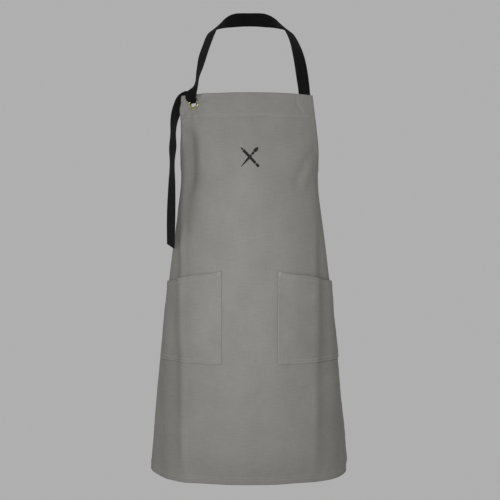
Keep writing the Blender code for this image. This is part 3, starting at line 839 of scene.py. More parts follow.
@dataclass
class Panel:
    """The canvas panel with its facing and hems."""

    form: WornForm
    canvas: bpy.types.Material
    thickness: float = 0.0010
    gap: float = 0.0004
    hem_width: float = 0.012
    hole_radius: float = 0.0105
    columns: int = 150
    pitch: float = 0.0045

    def rows(self) -> np.ndarray:
        """The v of each row, closer together where the hems and the facing end."""
        form = self.form
        marks = (0.0, form.facing - 0.004, form.facing + 0.006, form.length - form.hem - 0.008, form.length)
        steps = (0.0026, 0.0014, self.pitch, 0.0018)
        rows = [0.0]
        for start, end, step in zip(marks, marks[1:], steps):
            count = max(1, round((end - start) / step))
            rows += [start + (end - start) * (k + 1) / count for k in range(count)]
        return np.array(rows)

    def _patch(self, name: str, shares: np.ndarray, rows: np.ndarray, lift: float,
               thickness: float) -> bpy.types.Object:
        """A sheet of the panel between two shares of its half width, at the given rows.

        Args:
            name: the piece's name.
            shares: columns, as shares of the half width, from -1 to 1.
            rows: the rows' v.
            lift: how far outside the middle surface it lies.
            thickness: the cloth's thickness.

        Returns:
            The piece, dressed.
        """
        v = np.repeat(rows[::-1, None], len(shares), axis=1)
        u = shares[None, :] * self.form.half_width(v)
        points = self.form.place(u, v, lift)
        piece = grid_piece(name, points, np.stack([u, v], axis=-1))
        tint(piece, self.form.tone(u, v))
        thicken(piece, thickness)
        return dress(piece, self.canvas)

    def _open_eyelet(self, piece: bpy.types.Object) -> None:
        """Take the cloth away inside the eyelet, and round off the edge that is left."""
        centre = Vector(self.form.eyelet_point)
        bm = bmesh.new()
        bm.from_mesh(piece.data)
        inside = [face for face in bm.faces if (face.calc_center_median() - centre).length < self.hole_radius]
        bmesh.ops.delete(bm, geom=inside, context="FACES")
        for vert in bm.verts:
            offset = vert.co - centre
            if vert.is_boundary and offset.length < self.hole_radius * 1.45:
                vert.co = centre + offset.normalized() * self.hole_radius
        bm.to_mesh(piece.data)
        bm.free()

    def _hem(self, name: str, side: Side, first: float, last: float) -> bpy.types.Object:
        """A hem strip behind the panel's side edge, between two v."""
        rows = np.linspace(first, last, round((last - first) / 0.004) + 1)
        v = np.repeat(rows[::-1, None], 5, axis=1)
        inward = np.linspace(self.hem_width, 0.0003, 5)
        inward = inward if side is Side.RIGHT else inward[::-1]
        u = side.value * (self.form.half_width(v) - inward[None, :])
        points = self.form.place(u, v, -(self.thickness + self.gap))
        piece = grid_piece(f"{name}_cloth", points, np.stack([u, v], axis=-1))
        tint(piece, self.form.tone(u, v))
        thicken(piece, self.thickness, 0.0002)
        dress(piece, self.canvas)
        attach(piece, ROOT)
        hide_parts(name)
        return piece

    def build(self) -> tuple[bpy.types.Object, list[bpy.types.Object]]:
        """Build the panel, its facing and hems.

        Returns:
            The panel, and the facing and hems that are sewn to it.
        """
        form, shares = self.form, np.linspace(-1.0, 1.0, self.columns + 1)
        panel = self._patch("canvas_panel_cloth", shares, self.rows(), 0.0, self.thickness)
        self._open_eyelet(panel)
        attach(panel, ROOT)
        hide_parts("canvas_panel")
        behind = -(self.thickness + self.gap)
        top = np.linspace(0.0003, form.facing, 24)
        facing = self._patch("bib_top_facing_cloth", shares[::2], top, behind, self.thickness)
        self._open_eyelet(facing)
        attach(facing, ROOT)
        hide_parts("bib_top_facing")
        low = np.linspace(form.length - form.hem, form.length - 0.0003, 8)
        hem = self._patch("bottom_hem_cloth", shares, low, behind, self.thickness)
        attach(hem, ROOT)
        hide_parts("bottom_hem")
        hems = [facing, hem]
        for side in Side:
            hems.append(self._hem(f"armhole_hem_{side.word}", side, form.facing + 0.0006, form.armhole))
            hems.append(self._hem(f"side_hem_{side.word}", side, form.armhole + 0.001,
                                  form.length - form.hem - 0.0006))
        return panel, hems

    def runs(self) -> list[StitchRun]:
        """The panel's stitching, one row along each hem and one below the facing."""
        form, over = self.form, 0.5 * self.thickness + 0.00015
        top, low = form.facing - 0.0024, form.length - form.hem + 0.0045
        runs = []
        for v in (top, low):
            half = float(form.half_width(v)) - 0.001
            line = [(u, v) for u in np.linspace(-half, half, 60)]
            runs.append(StitchRun(line, over))
        for side in Side:
            rows = np.linspace(0.001, form.length - 0.001, 120)
            edge = form.half_width(rows) - self.hem_width + 0.002
            runs.append(StitchRun(list(zip(side.value * edge, rows)), over))
        return runs

    def cut_area(self) -> float:
        """The area of the flat cut, with the armholes taken away."""
        v = (np.arange(2000) + 0.5) / 2000 * self.form.length
        return float(np.mean(2.0 * self.form.half_width(v)) * self.form.length)


@dataclass
class Pocket:
    """A patch pocket with a slanting mouth, sewn down on its other three sides."""

    form: WornForm
    canvas: bpy.types.Material
    side: Side
    inner: float = 0.062
    outer: float = 0.267
    top: float = 0.395
    slant: float = 0.032
    rows_in: tuple[float, float] = (0.0022, 0.0086)
    bottom: float = 0.599
    room: float = 0.0042
    thickness: float = 0.0010
    mouth_hem: float = 0.012
    pucker: float = 0.0013

    def __post_init__(self) -> None:
        """Draw the seams' pucker patterns."""
        self._noise = LatticeNoise(53 if self.side is Side.LEFT else 67)

    def mouth(self, reach: np.ndarray) -> np.ndarray:
        """The v of the mouth at a distance from the panel's middle."""
        across = (np.asarray(reach) - self.inner) / (self.outer - self.inner)
        return self.top + self.slant * across + 0.0012 * np.sin(across * 13.0) * ease(0.0, 0.1, across)

    def lift(self, u: np.ndarray, v: np.ndarray) -> np.ndarray:
        """How far the pocket's cloth stands off the panel's middle surface."""
        reach = np.abs(u)
        from_inner, from_outer = reach - self.inner, self.outer - reach
        from_side = np.minimum(from_inner, from_outer)
        from_bottom, from_mouth = self.bottom - v, v - self.mouth(reach)
        seam = self.thickness + 0.0004
        room = ease(0.003, 0.045, from_side) * ease(0.003, 0.060, from_bottom)
        lift = seam + self.room * room * (1.0 + 0.3 * self._noise.at(u * 14.0, v * 11.0))
        turned = np.clip(ease(0.0095, 0.0080, from_side) + ease(0.0095, 0.0080, from_bottom), 0.0, 1.0)
        doubled = ease(self.mouth_hem + 0.001, self.mouth_hem - 0.001, from_mouth)
        lift = lift + 0.00045 * turned + 0.0006 * doubled
        tug = self._noise.at(v * 95.0, u * 4.0 + 3.0) * bell(from_inner - 0.012, 0.013)
        tug = tug + 0.7 * self._noise.at(v * 80.0 + 9.0, u * 4.0) * bell(from_outer - 0.010, 0.010)
        tug = tug + 0.6 * self._noise.at(u * 85.0, v * 4.0) * bell(from_bottom - 0.010, 0.009)
        return lift + self.pucker * np.clip(tug, -0.3, 1.0) * ease(0.002, 0.008, from_side)

    def _sheet(self, name: str, reach: np.ndarray, share: np.ndarray, lower: float) -> bpy.types.Object:
        """Cloth between the pocket's mouth (share 0) and its bottom (share 1)."""
        out = reach if self.side is Side.RIGHT else reach[::-1]
        u = self.side.value * np.repeat(out[None, :], len(share), axis=0)
        top = self.mouth(np.abs(u))
        v = top + (self.bottom - top) * share[::-1, None]
        points = self.form.place(u, v, self.lift(u, v) - lower)
        piece = grid_piece(name, points, np.stack([u + 0.37 * self.side.value, v + 0.11], axis=-1))
        tint(piece, self.form.tone(u, v))
        return piece

    def build(self, thread: bpy.types.Material) -> bpy.types.Object:
        """Build the pocket, the hem inside its mouth, its stitching and its bar tacks.

        Args:
            thread: the thread's finish.

        Returns:
            The pocket.
        """
        reach = np.linspace(self.inner, self.outer, 68)
        share = np.concatenate([np.linspace(0.0, 0.09, 12), np.linspace(0.11, 1.0, 56)])
        name = f"pocket_{self.side.word}"
        pocket = self._sheet(f"{name}_cloth", reach, share, 0.0)
        thicken(pocket, self.thickness, 0.0003)
        dress(pocket, self.canvas)
        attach(pocket, ROOT)
        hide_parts(name)
        inner = reach[(reach > self.inner + 0.004) & (reach < self.outer - 0.004)]
        hem = self._sheet(f"pocket_hem_{self.side.word}_cloth", inner, np.linspace(0.001, 0.064, 6),
                          self.thickness + 0.0003)
        thicken(hem, self.thickness, 0.0003)
        dress(hem, self.canvas)
        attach(hem, ROOT)
        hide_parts(f"pocket_hem_{self.side.word}")
        sewn = [hem, stitched_piece(f"{name}_stitches", self.form, self.runs(), thread)]
        sewn += [bar_tack(self.form, self, place, thread) for place in ("inner", "outer")]
        return pocket

    def runs(self) -> list[StitchRun]:
        """The pocket's stitching: two rows down its sides and along its bottom, one below its mouth."""
        sign, runs = self.side.value, []
        over = 0.5 * self.thickness + 0.0002
        for inset in self.rows_in:
            inner, outer, low = self.inner + inset, self.outer - inset, self.bottom - inset
            corners = [(sign * inner, float(self.mouth(inner)) + 0.001), (sign * inner, low),
                       (sign * outer, low), (sign * outer, float(self.mouth(outer)) + 0.001)]
            runs.append(StitchRun(corners, lambda u, v: self.lift(u, v) + over))
        drop = self.mouth_hem - self.rows_in[0]
        reach = np.linspace(self.inner + 0.002, self.outer - 0.002, 24)
        line = [(sign * float(r), float(self.mouth(r)) + drop) for r in reach]
        runs.append(StitchRun(line, lambda u, v: self.lift(u, v) + over))
        return runs


class Part(Enum):
    """The embroidered motif's filled parts: how far along the tool each lies, and its half width there."""

    BRISTLES = ((0.0, 0.0003), (0.35, 0.0030), (0.75, 0.0034), (1.0, 0.0026))
    FERRULE = ((0.0, 0.0024), (0.5, 0.0021), (1.0, 0.0019))
    HANDLE = ((0.0, 0.0018), (0.25, 0.0024), (0.6, 0.0016), (1.0, 0.0006))
    POINT = ((0.0, 0.0002), (1.0, 0.0024))
    BARREL = ((0.0, 0.0026), (1.0, 0.0026))
    RUBBER = ((0.0, 0.0027), (1.0, 0.0024))


@dataclass
class Embroidery:
    """A small crossed brush and pencil in satin stitch on the bib."""

    form: WornForm
    thread: bpy.types.Material
    centre: tuple[float, float] = (0.003, 0.144)
    length: float = 0.058
    pitch: float = 0.00042
    lift: float = 0.0007
    slant: float = 42.0
    weight: float = 1.35

    def _stretch(self, angle: float, start: float, end: float, part: Part) -> list[Matrix]:
        """Satin stitches across one part of a tool.

        Args:
            angle: the tool's turn from upright, in degrees.
            start: where the part starts, as a share of the tool's length.
            end: where it ends.
            part: its outline.

        Returns:
            The stitches' seats.
        """
        seats = []
        turn = math.radians(angle)
        down, across = np.array([math.sin(turn), -math.cos(turn)]), np.array([math.cos(turn), math.sin(turn)])
        outline = np.array(part.value)
        count = round((end - start) * self.length / self.pitch)
        for k in range(count):
            t = (k + 0.5) / count
            place = (start + (end - start) * t - 0.5) * self.length
            half = self.weight * float(np.interp(t, outline[:, 0], outline[:, 1]))
            ends = [np.array(self.centre) + down * (place + lean) + across * reach
                    for reach, lean in ((-half, -0.0004), (half, 0.0004))]
            run = StitchRun([tuple(ends[0]), tuple(ends[1])], self.lift, length=2.0 * half,
                            gap=-0.0001, radius=0.00034)
            seats += run.seats(self.form)[:1]
        return seats

    def build(self) -> bpy.types.Object:
        """Sew the motif.

        Returns:
            The piece, riding with the canvas.
        """
        brush = ((0.0, 0.24, Part.BRISTLES), (0.26, 0.38, Part.FERRULE), (0.40, 1.0, Part.HANDLE))
        pencil = ((0.0, 0.13, Part.POINT), (0.15, 0.82, Part.BARREL), (0.85, 1.0, Part.RUBBER))
        seats = []
        for angle, parts in ((180.0 + self.slant, brush), (180.0 - self.slant, pencil)):
            for start, end, part in parts:
                seats += self._stretch(angle, start, end, part)
        bm = beads(seats)
        piece = finished("bib_embroidery", bm, 180.0)
        dress(piece, self.thread)
        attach(piece, ROOT)
        return piece


@dataclass
class Eyelet:
    """The pressed brass eyelet: a rolled flange with its barrel, and the washer behind."""

    form: WornForm
    brass: bpy.types.Material
    bore: float = 0.0082
    barrel: float = 0.0090
    outer: float = 0.0150
    crown: float = 0.0021
    front: float = 0.0008
    back: float = -0.0024
    washer_outer: float = 0.0142

    def _turned(self, name: str, profile: Sequence[tuple[float, float]]) -> bpy.types.Object:
        """A ring spun about the eyelet's axis from a closed profile of (radius, height) corners."""
        form = self.form
        bm = bmesh.new()
        verts = [bm.verts.new(form.at_eyelet(radius, 0.0, height)) for radius, height in profile]
        edges = [bm.edges.new(pair) for pair in zip(verts, verts[1:] + verts[:1])]
        bmesh.ops.spin(bm, geom=verts + edges, cent=form.eyelet_point, axis=form.eyelet_normal,
                       angle=2.0 * math.pi, steps=72, use_merge=True)
        bmesh.ops.recalc_face_normals(bm, faces=bm.faces)
        piece = finished(name, bm, 40.0)
        dress(piece, self.brass)
        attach(piece, ROOT)
        return piece

    def build(self) -> list[bpy.types.Object]:
        """Build both rings.

        Returns:
            The flange and the washer.
        """
        low, deep = self.front, self.back - 0.0012
        middle, reach = 0.5 * (self.bore + self.outer), 0.5 * (self.outer - self.bore)
        arc = [(middle - reach * math.cos(a), low + self.crown * math.sin(a) ** 0.8)
               for a in np.linspace(0.0, math.pi, 15)]
        inside = [(self.outer - 0.0007, low), (self.barrel, low), (self.barrel, deep)]
        roll = [(self.barrel + 0.0008, deep - 0.0006), (self.bore + 0.0004, deep - 0.0008), (self.bore, deep)]
        flange = self._turned("eyelet_flange_ring", arc + inside + roll)
        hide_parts("eyelet_flange")
        top = self.back
        washer = self._turned("eyelet_washer_ring", [
            (self.barrel + 0.0003, top), (self.washer_outer, top), (self.washer_outer + 0.0002, top - 0.0004),
            (self.washer_outer - 0.0006, top - 0.0009), (self.barrel + 0.0018, top - 0.0011),
            (self.barrel + 0.0004, top - 0.0007)])
        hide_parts("eyelet_washer")
        return [flange, washer]


@dataclass
class NeckStrap:
    """The webbing neck strap: sewn behind one bib corner, threaded through the eyelet in the other."""

    form: WornForm
    webbing: bpy.types.Material
    sewn_u: float = 0.1375
    sewn_length: float = 0.045
    behind: float = 0.0043
    sewn_curl: float = 0.0016
    fold_height: float = -0.2055
    width: float = 0.032

    LOOP = (
        ((0.1192, -0.1490, -0.1700), (0.47, -0.84, 0.27)),
        ((0.1110, -0.1290, -0.1134), (0.52, -0.75, 0.41)),
        ((0.1038, -0.1090, -0.0818), (0.60, -0.54, 0.59)),
        ((0.0897, -0.0830, -0.0477), (0.57, -0.30, 0.76)),
        ((0.0722, -0.0500, -0.0254), (0.48, 0.25, 0.84)),
        ((0.0492, -0.0250, -0.0105), (0.35, 0.68, 0.64)),
        ((0.0254, -0.0080, -0.0026), (0.20, 0.95, 0.24)),
        ((0.0000, 0.0000, 0.0000), (0.00, 1.00, 0.05)),
        ((-0.0254, -0.0080, -0.0026), (-0.20, 0.95, 0.24)),
        ((-0.0492, -0.0250, -0.0105), (-0.35, 0.68, 0.64)),
        ((-0.0702, -0.0500, -0.0254), (-0.48, 0.25, 0.84)),
        ((-0.0857, -0.0830, -0.0477), (-0.57, -0.30, 0.76)),
        ((-0.0969, -0.1090, -0.0818), (-0.66, -0.50, 0.55)),
        ((-0.1053, -0.1290, -0.1134), (-0.72, -0.60, 0.36)),
        ((-0.1120, -0.1440, -0.1480), (-0.84, -0.48, 0.22)),
        ((-0.1190, -0.1550, -0.1800), (-0.93, -0.34, 0.10)),
    )
    TAIL = (
        ((-0.1650, -0.1265, -0.2375), (-0.55, -0.83, 0.00)),
        ((-0.1715, -0.1240, -0.2600), (-0.76, -0.65, 0.00)),
        ((-0.1742, -0.1250, -0.2900), (-0.88, -0.47, 0.00)),
        ((-0.1752, -0.1258, -0.3250), (-0.82, -0.57, 0.00)),
        ((-0.1762, -0.1265, -0.3550), (-0.91, -0.42, 0.00)),
        ((-0.1772, -0.1272, -0.4100), (-0.83, -0.55, 0.00)),
        ((-0.1785, -0.1280, -0.4700), (-0.76, -0.65, 0.00)),
        ((-0.1795, -0.1290, -0.5500), (-0.80, -0.60, 0.00)),
    )

    def _near(self, place: Sequence[float], face: Sequence[float], share: float, pleat: float) -> Station:
        """A station given from the eyelet's middle: along the canvas, up, and out."""
        form = self.form
        look = form.eyelet_along * face[0] + np.array([0.0, 0.0, face[1]]) + form.eyelet_normal * face[2]
        return Station(form.at_eyelet(*place), look, share, pleat)

    def _loop_stations(self) -> list[Station]:
        """From the sewn end, round the neck, down to the eyelet's front and into its bore."""
        stations = []
        for v in (self.sewn_length, 0.030, 0.015, 0.003):
            point, normal = self.form.frame_at(np.array([self.sewn_u]), np.array([v]))
            stations.append(Station(point[0] - normal[0] * self.behind, normal[0], curl=self.sewn_curl))
        stations += [Station(point, face) for point, face in self.LOOP]
        stations += [
            self._near((0.0010, 0.0270, 0.0044), (-0.15, 0.1, 1.0), 0.84, 0.0008),
            self._near((-0.0015, 0.0190, 0.0064), (0.0, 0.0, 1.0), 0.90, 0.0014),
            self._near((-0.0020, 0.0120, 0.0078), (0.0, -0.2, 1.0), 0.86, 0.0018),
            self._near((-0.0012, 0.0070, 0.0070), (0.0, -0.7, 0.9), 0.66, 0.0018),
            self._near((0.0000, 0.0046, 0.0036), (0.0, -1.0, 0.4), 0.38, 0.0013),
            self._near((0.0000, 0.0038, 0.0000), (0.0, -1.0, 0.0), 0.34, 0.0011),
            self._near((0.0000, 0.0038, -0.0024), (0.0, -1.0, 0.0), 0.34, 0.0011),
        ]
        return stations

    def _tail_stations(self) -> list[Station]:
        """From inside the bore, behind the corner of the bib and down to the free end."""
        return [
            self._near((0.0000, 0.0018, 0.0012), (0.0, -1.0, 0.0), 0.38, 0.0008),
            self._near((0.0000, 0.0018, -0.0010), (0.0, -1.0, 0.0), 0.38, 0.0010),
            self._near((-0.0005, 0.0028, -0.0048), (0.0, -0.9, -0.8), 0.42, 0.0012),
            self._near((-0.0040, 0.0060, -0.0085), (-0.2, -0.3, -1.0), 0.50, 0.0012),
            self._near((-0.0130, 0.0160, -0.0090), (0.0, 0.0, -1.0), 0.66, 0.0010),
            self._near((-0.0250, 0.0200, -0.0085), (0.0, 0.0, -1.0), 0.76, 0.0008),
            self._near((-0.0380, 0.0150, -0.0080), (0.0, 0.0, -1.0), 0.82, 0.0006),
            *[Station(point, [-c for c in face], share) for (point, face), share
              in zip(self.TAIL, (0.88, 0.94, 0.97, 1.0, 1.0, 1.0, 1.0, 1.0))],
        ]

    def build(self) -> list[bpy.types.Object]:
        """Build both lengths of the strap.

        Returns:
            The loop and the tail.
        """
        loop = Strap("neck_strap_loop_webbing", self._loop_stations(), columns=12, pleats=2.5)
        upper = loop.build(self.webbing)
        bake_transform(upper)
        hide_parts("neck_strap_loop", "neck_strap_sewn_end", "neck_strap_eyelet_pass")
        loop.length()
        tail = Strap("neck_strap_tail_webbing", self._tail_stations(), columns=12, pleats=2.0, cut=0.012,
                     start_at=loop.length())
        lower = tail.build(self.webbing)
        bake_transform(lower)
        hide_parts("neck_strap_tail")
        tail.length()
        return [upper, lower]


@dataclass
class WaistTies:
    """The two waist ties, their anchor patches, and the bow that joins them at the back."""

    form: WornForm
    canvas: bpy.types.Material
    webbing: bpy.types.Material
    thread: bpy.types.Material
    level: float = 0.290
    sewn: float = 0.030
    patch: float = 0.040
    width: float = 0.032
    behind: float = 0.0034
    knot_size: tuple[float, float, float] = (0.040, 0.022, 0.030)
    reach: float = 0.105
    droop: float = math.radians(34.0)
    opening: float = 0.010
    tail: float = 0.400

    def _centre(self) -> np.ndarray:
        """The knot's middle."""
        back = self.form.on_section(np.array([self.form.half_round(self.level)]),
                                     np.array([self.form.bib_top - self.level]))[0][0]
        return np.array([0.0, back[1] + 0.003, self.form.bib_top - self.level + 0.003])

    def _tie(self, side: Side) -> bpy.types.Object:
        """One tie, from under its anchor patch round to the knot, where it gathers."""
        start, end = self.form.skirt_half - self.sewn, self.form.half_round(self.level) - 0.012
        along = np.linspace(start, end, 60)
        share = 1.0 - 0.48 * ease(0.35, 1.0, (along - start) / (end - start)) ** 1.6
        place = np.linspace(0.5, -0.5, 11)
        sag = 0.0045 * np.sin(np.pi * (along - start) / (end - start)) ** 2
        gathered = 0.0022 * ease(end - 0.050, end, along)
        u = np.repeat(along[None, :], len(place), axis=0)
        v = self.level + sag[None, :] + place[:, None] * self.width * share[None, :]
        lift = -self.behind + gathered[None, :] * np.cos(place * 4.0 * math.pi)[:, None]
        if side is Side.LEFT:
            u, v, lift = -u[:, ::-1], v[:, ::-1], lift[:, ::-1]
        flat = np.stack(np.broadcast_arrays(self.width * (0.5 - place[:, None]), np.abs(u) - start), axis=-1)
        name = f"waist_tie_{side.word}"
        tie = grid_piece(f"{name}_webbing", self.form.place(u, v, lift), flat)
        thicken(tie, 0.0015, 0.0004)
        dress(tie, self.webbing)
        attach(tie, ROOT)
        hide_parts(name)
        return tie

    def _anchor(self, side: Side) -> bpy.types.Object:
        """The square patch that holds the end of a tie, with its boxed cross of stitches."""
        middle, half = self.form.skirt_half - 0.013 - 0.5 * self.patch, 0.5 * self.patch
        reach = np.linspace(-half, half, 12)
        u, v = np.meshgrid(side.value * middle + reach, self.level + reach[::-1])
        under = self.behind + 0.0018
        name = f"tie_anchor_patch_{side.word}"
        patch = grid_piece(f"{name}_cloth", self.form.place(u, v, -under), np.stack([u, v], axis=-1))
        tint(patch, self.form.tone(u, v))
        thicken(patch, 0.0010, 0.0003)
        dress(patch, self.canvas)
        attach(patch, ROOT)
        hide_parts(name)
        square = [(side.value * middle + a * (half - 0.004), self.level + b * (half - 0.004))
                  for a, b in ((-1, -1), (1, -1), (1, 1), (-1, 1), (-1, -1), (1, 1))]
        cross = [square[1], square[3]]
        inner = -(under + 0.0006)
        stitched = stitched_piece(f"{name}_stitches", self.form,
                                  [StitchRun(square, inner), StitchRun(cross, inner)], self.thread)
        return patch

    def _knot(self, centre: np.ndarray) -> bpy.types.Object:
        """The webbing wrapped round the middle of the bow."""
        stations = []
        for k in range(17):
            turn = 2.0 * math.pi * (k / 16.0) * 1.04 - 0.5 * math.pi
            out = np.array([0.0, math.cos(turn), math.sin(turn)])
            swell = 1.0 + 0.05 * k / 16.0
            point = centre + out * np.array([1.0, 0.0092, 0.0132]) * swell
            point[0] = centre[0] + 0.0018 * (k / 16.0 - 0.5)
            face, share = out * np.array([1.0, 1.35, 0.95]), 0.74 + 0.08 * math.cos(turn)
            stations.append(Station(point, face, share, 0.0011))
        wrap = Strap("waist_bow_knot_wrap", stations, pitch=0.0022, pleats=1.5, columns=12)
        knot = wrap.build(self.webbing)
        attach(knot, ROOT)
        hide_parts("waist_bow_knot")
        wrap.length()
        return knot

    def _loop(self, side: Side, centre: np.ndarray) -> bpy.types.Object:
        """One loop of the bow: it leaves the knot, opens, turns back and returns behind itself."""
        out = np.array([side.value * math.cos(self.droop), 0.0, -math.sin(self.droop)])
        root = centre + out * 0.010 + np.array([0.0, self.opening * 0.55, 0.0])
        length, stations = self.reach - 0.010, []
        for k in range(17):
            turn = math.pi * k / 16
            open_share = math.sin(turn)
            apart = self.opening * math.cos(turn) * (0.30 + 0.85 * open_share ** 0.7)
            point = root + out * (length * open_share ** 0.75) + np.array([0.0, apart, 0.0])
            point[2] -= 0.006 * open_share * math.cos(turn)
            face = np.array([0.0, math.cos(turn), 0.10]) + out * math.sin(turn)
            share = 0.46 + 0.54 * open_share ** 0.7
            stations.append(Station(point, face, share, 0.0026 * (1.0 - open_share) ** 1.5))
        strap = Strap(f"waist_bow_loop_{side.word}_webbing", stations, columns=12, pleats=2.0)
        loop = strap.build(self.webbing)
        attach(loop, ROOT)
        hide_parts(f"waist_bow_loop_{side.word}")
        strap.length()
        return loop

    def _tail(self, side: Side, centre: np.ndarray) -> bpy.types.Object:
        """One tail of the bow: it hangs from under the knot, opens out and turns a little."""
        sign = side.value
        top = centre + np.array([sign * 0.0105, 0.0, -0.5 * self.knot_size[2] + 0.002])
        stations = []
        for k in range(13):
            t = k / 12
            sway = 0.0022 * math.sin(6.0 * t + (0.8 if side is Side.LEFT else 2.4)) * t
            point = top + np.array([sign * 0.036 * t, 0.003 * t + sway, -(self.tail + 0.004) * t])
            turn = sign * (0.15 + 0.25 * math.sin(3.4 * t + 0.4 * sign))
            share = 0.46 + 0.54 * float(ease(0.0, 0.25, t))
            pleat = 0.0022 * (1.0 - float(ease(0.0, 0.2, t)))
            stations.append(Station(point, (math.sin(turn), math.cos(turn), 0.0), share, pleat))
        strap = Strap(f"waist_bow_tail_{side.word}_webbing", stations, columns=12, pleats=2.0,
                      cut=-sign * 0.010)
        tail = strap.build(self.webbing)
        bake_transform(tail)
        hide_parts(f"waist_bow_tail_{side.word}")
        strap.length()
        return tail

    def build(self) -> list[bpy.types.Object]:
        """Build the ties, patches, knot, loops and tails.

        Returns:
            All of their pieces.
        """
        centre = self._centre()
        pieces = [self._knot(centre)]
        for side in Side:
            pieces += [self._tie(side), self._anchor(side)]
            pieces += [self._loop(side, centre), self._tail(side, centre)]
        return pieces


def bar_tack(form: WornForm, pocket: Pocket, place: str, thread: bpy.types.Material) -> bpy.types.Object:
    """The dense bar of thread at one end of a pocket's mouth.

    Args:
        form: the worn form.
        pocket: the pocket it strengthens.
        place: "inner" or "outer".
        thread: the thread's finish.

    Returns:
        The piece.
    """
    edge, inward = (pocket.inner, 1.0) if place == "inner" else (pocket.outer, -1.0)
    start, step, passes = float(pocket.mouth(edge)) + 0.0008, 0.0005, 20
    ends = [pocket.side.value * (edge + inward * inset) for inset in (0.0032, 0.0064)]
    runs = []
    for k in range(passes):
        v = start + step * k
        line = [(end, v) for end in ends]
        runs.append(StitchRun(line, lambda u, v: pocket.lift(u, v) + 0.0009, length=0.0032, gap=-0.0001,
                              radius=0.00036))
    piece = stitched_piece(f"bar_tack_{pocket.side.word}_{place}_thread", form, runs, thread)
    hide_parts(f"bar_tack_{pocket.side.word}_{place}")
    return piece


@dataclass(frozen=True)
class FloorFinish:
    """Matt pale studio board."""

    colour: tuple[float, float, float] = (0.62, 0.62, 0.61)

    def make(self, name: str) -> bpy.types.Material:
        """Build the material."""
        nodes = Nodes(name)
        speckle = nodes.add("TexNoise")
        nodes.feed(speckle, "Vector", nodes.add("TexCoord").outputs["Object"])
        nodes.feed(speckle, "Scale", 9.0)
        nodes.feed(nodes.shader, "Base Color", nodes.shade(self.colour, nodes.spread(
            speckle.outputs["Fac"], 0.985, 1.015)))
        nodes.constants(Roughness=0.9, Specular_IOR_Level=0.2)
        return nodes.material


@dataclass
class Studio:
    """The pale floor, the even room light, the soft lamps and the camera."""

    backdrop: float = 0.43
    floor_height: float = -1.48
    floor_radius: float = 1.0
    camera_place: tuple[float, float, float] = (0.001, -2.105, -0.558)
    lens: float = 62.5

    def _lamp(self, name: str, place: tuple[float, float, float], aim: tuple[float, float, float],
              size: float, power: float) -> None:
        """A square soft lamp that faces a point."""
        light = bpy.data.lights.new(name, "AREA")
        light.size = size
        light.energy = power
        lamp = bpy.data.objects.new(name, light)
        lamp.location = place
        lamp.rotation_euler = (Vector(aim) - Vector(place)).to_track_quat("-Z", "Y").to_euler()
        bpy.context.scene.collection.objects.link(lamp)

    def build(self) -> None:
        """Set up the room, the lamps and the camera."""
        scene = bpy.context.scene
        world = bpy.data.worlds.new("studio")
        world.use_nodes = True
        background = world.node_tree.nodes["Background"]
        background.inputs["Color"].default_value = (self.backdrop, self.backdrop, self.backdrop, 1.0)
        background.inputs["Strength"].default_value = 1.0
        scene.world = world
        scene.view_settings.view_transform = "Standard"
        scene.view_settings.look = "None"
        bm = bmesh.new()
        bmesh.ops.create_circle(bm, cap_ends=True, segments=96, radius=self.floor_radius,
                                matrix=Matrix.Translation((0.0, 0.0, self.floor_height)))
        floor = finished("studio_floor", bm)
        floor.data.materials.append(FloorFinish().make("pale_board"))
        self._lamp("key_lamp", (-0.20, -1.20, -0.60), (0.0, -0.20, -0.60), 0.28, 5.05)
        camera = bpy.data.cameras.new("camera")
        camera.lens = self.lens
        seat = bpy.data.objects.new("camera", camera)
        seat.location = self.camera_place
        seat.rotation_euler = (math.pi / 2.0, 0.0, 0.0)
        scene.collection.objects.link(seat)
        scene.camera = seat


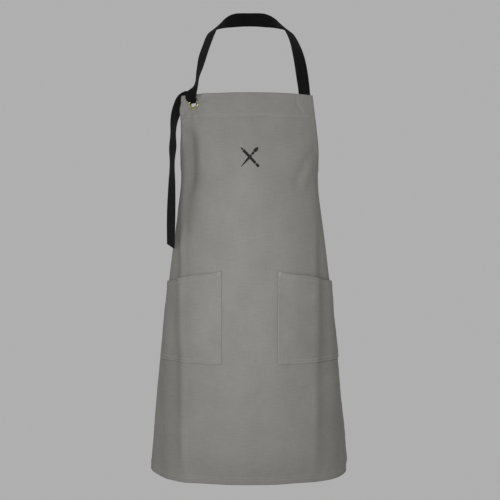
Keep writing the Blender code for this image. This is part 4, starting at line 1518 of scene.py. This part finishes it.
CREASES = (
    Stroke((-0.143, 0.080), (-0.150, 0.215), -0.0160, 0.0240),
    Stroke((-0.152, 0.215), (-0.163, 0.320), -0.0060, 0.0220),
    Stroke((-0.112, 0.088), (-0.110, 0.165), 0.0020, 0.009),
    Stroke((-0.152, 0.006), (-0.143, 0.034), 0.0011, 0.0026),
    Stroke((-0.146, 0.004), (-0.139, 0.022), 0.0010, 0.0024),
    Stroke((-0.150, 0.024), (-0.136, 0.060), 0.0012, 0.0034),
    Stroke((-0.198, 0.300), (-0.186, 0.600), -0.0058, 0.0220),
    Stroke((-0.186, 0.580), (-0.180, 0.860), -0.0066, 0.0230),
    Stroke((0.192, 0.300), (0.180, 0.860), -0.0052, 0.0230),
    Stroke((0.172, 0.118), (0.140, 0.144), -0.0030, 0.009),
    Stroke((0.142, 0.142), (0.108, 0.205), -0.0032, 0.010, 0.3),
    Stroke((0.155, 0.155), (0.122, 0.215), 0.0020, 0.010),
    Stroke((-0.108, 0.008), (-0.055, 0.018), 0.0012, 0.0045),
    Stroke((-0.108, 0.022), (-0.050, 0.052), 0.0013, 0.0050),
    Stroke((-0.115, 0.036), (-0.090, 0.085), 0.0011, 0.0050),
    Stroke((0.112, 0.002), (0.113, 0.026), -0.0014, 0.0035),
    Stroke((0.113, 0.024), (0.128, 0.042), -0.0012, 0.0035),
    Stroke((-0.171, 0.290), (-0.160, 0.460), 0.0042, 0.0105, 0.25),
    Stroke((-0.160, 0.450), (-0.154, 0.590), 0.0036, 0.0100, 0.25),
    Stroke((-0.154, 0.580), (-0.150, 0.850), 0.0046, 0.0110, 0.25),
    Stroke((0.166, 0.300), (0.156, 0.470), 0.0026, 0.0120),
    Stroke((0.156, 0.460), (0.150, 0.840), 0.0028, 0.0130),
    Stroke((-0.045, 0.528), (0.015, 0.552), -0.0014, 0.0090),
    Stroke((-0.030, 0.590), (0.016, 0.625), -0.0011, 0.0080),
    Stroke((-0.095, 0.0535), (0.155, 0.0535), -0.0009, 0.0024),
)


# Painted shade: strokes that darken the canvas's colour over the hollow at the bib's left edge, down the left
# and right sides of the skirt and along the lower hem, where the cloth lies in shade.
PAINTED_SHADE = (
    Stroke((-0.140, 0.070), (-0.152, 0.300), -0.17, 0.030),
    Stroke((-0.190, 0.320), (-0.200, 0.900), -0.13, 0.055),
    Stroke((0.205, 0.420), (0.200, 0.900), -0.10, 0.055),
    Stroke((-0.10, 0.862), (0.16, 0.862), -0.08, 0.030),
)


def main() -> None:
    """Build the apron's looks, piece by piece."""
    canvas = CanvasFinish().make("grey_canvas")
    webbing = WebbingFinish().make("black_webbing")
    brass = BrassFinish().make("antique_brass")
    thread = ThreadFinish((0.54, 0.535, 0.51)).make("grey_thread")
    black = ThreadFinish((0.012, 0.012, 0.013)).make("black_thread")
    form = WornForm(creases=CREASES, painted_shade=PAINTED_SHADE)
    panel_part = Panel(form, canvas)
    panel, sewn = panel_part.build()
    LOG.info("panel: %d pieces", 1 + len(sewn))
    sewn.append(stitched_piece("panel_stitches", form, panel_part.runs(), thread))
    sewn.append(Embroidery(form, black).build())
    LOG.info("embroidery on the bib")
    sewn += Eyelet(form, brass).build()
    LOG.info("eyelet: flange and washer")
    panel_part.cut_area()
    for side in Side:
        pocket = Pocket(form, canvas, side)
        pocket.build(thread)
        LOG.info("%s pocket", side.word)
    NeckStrap(form, webbing).build()
    LOG.info("neck strap: loop and tail")
    pieces = WaistTies(form, canvas, webbing, thread).build()
    LOG.info("waist ties and bow: %d pieces", len(pieces))
    Studio().build()


if __name__ == "__main__":
    logging.basicConfig(level=logging.INFO, format="%(name)s: %(message)s")
    main()
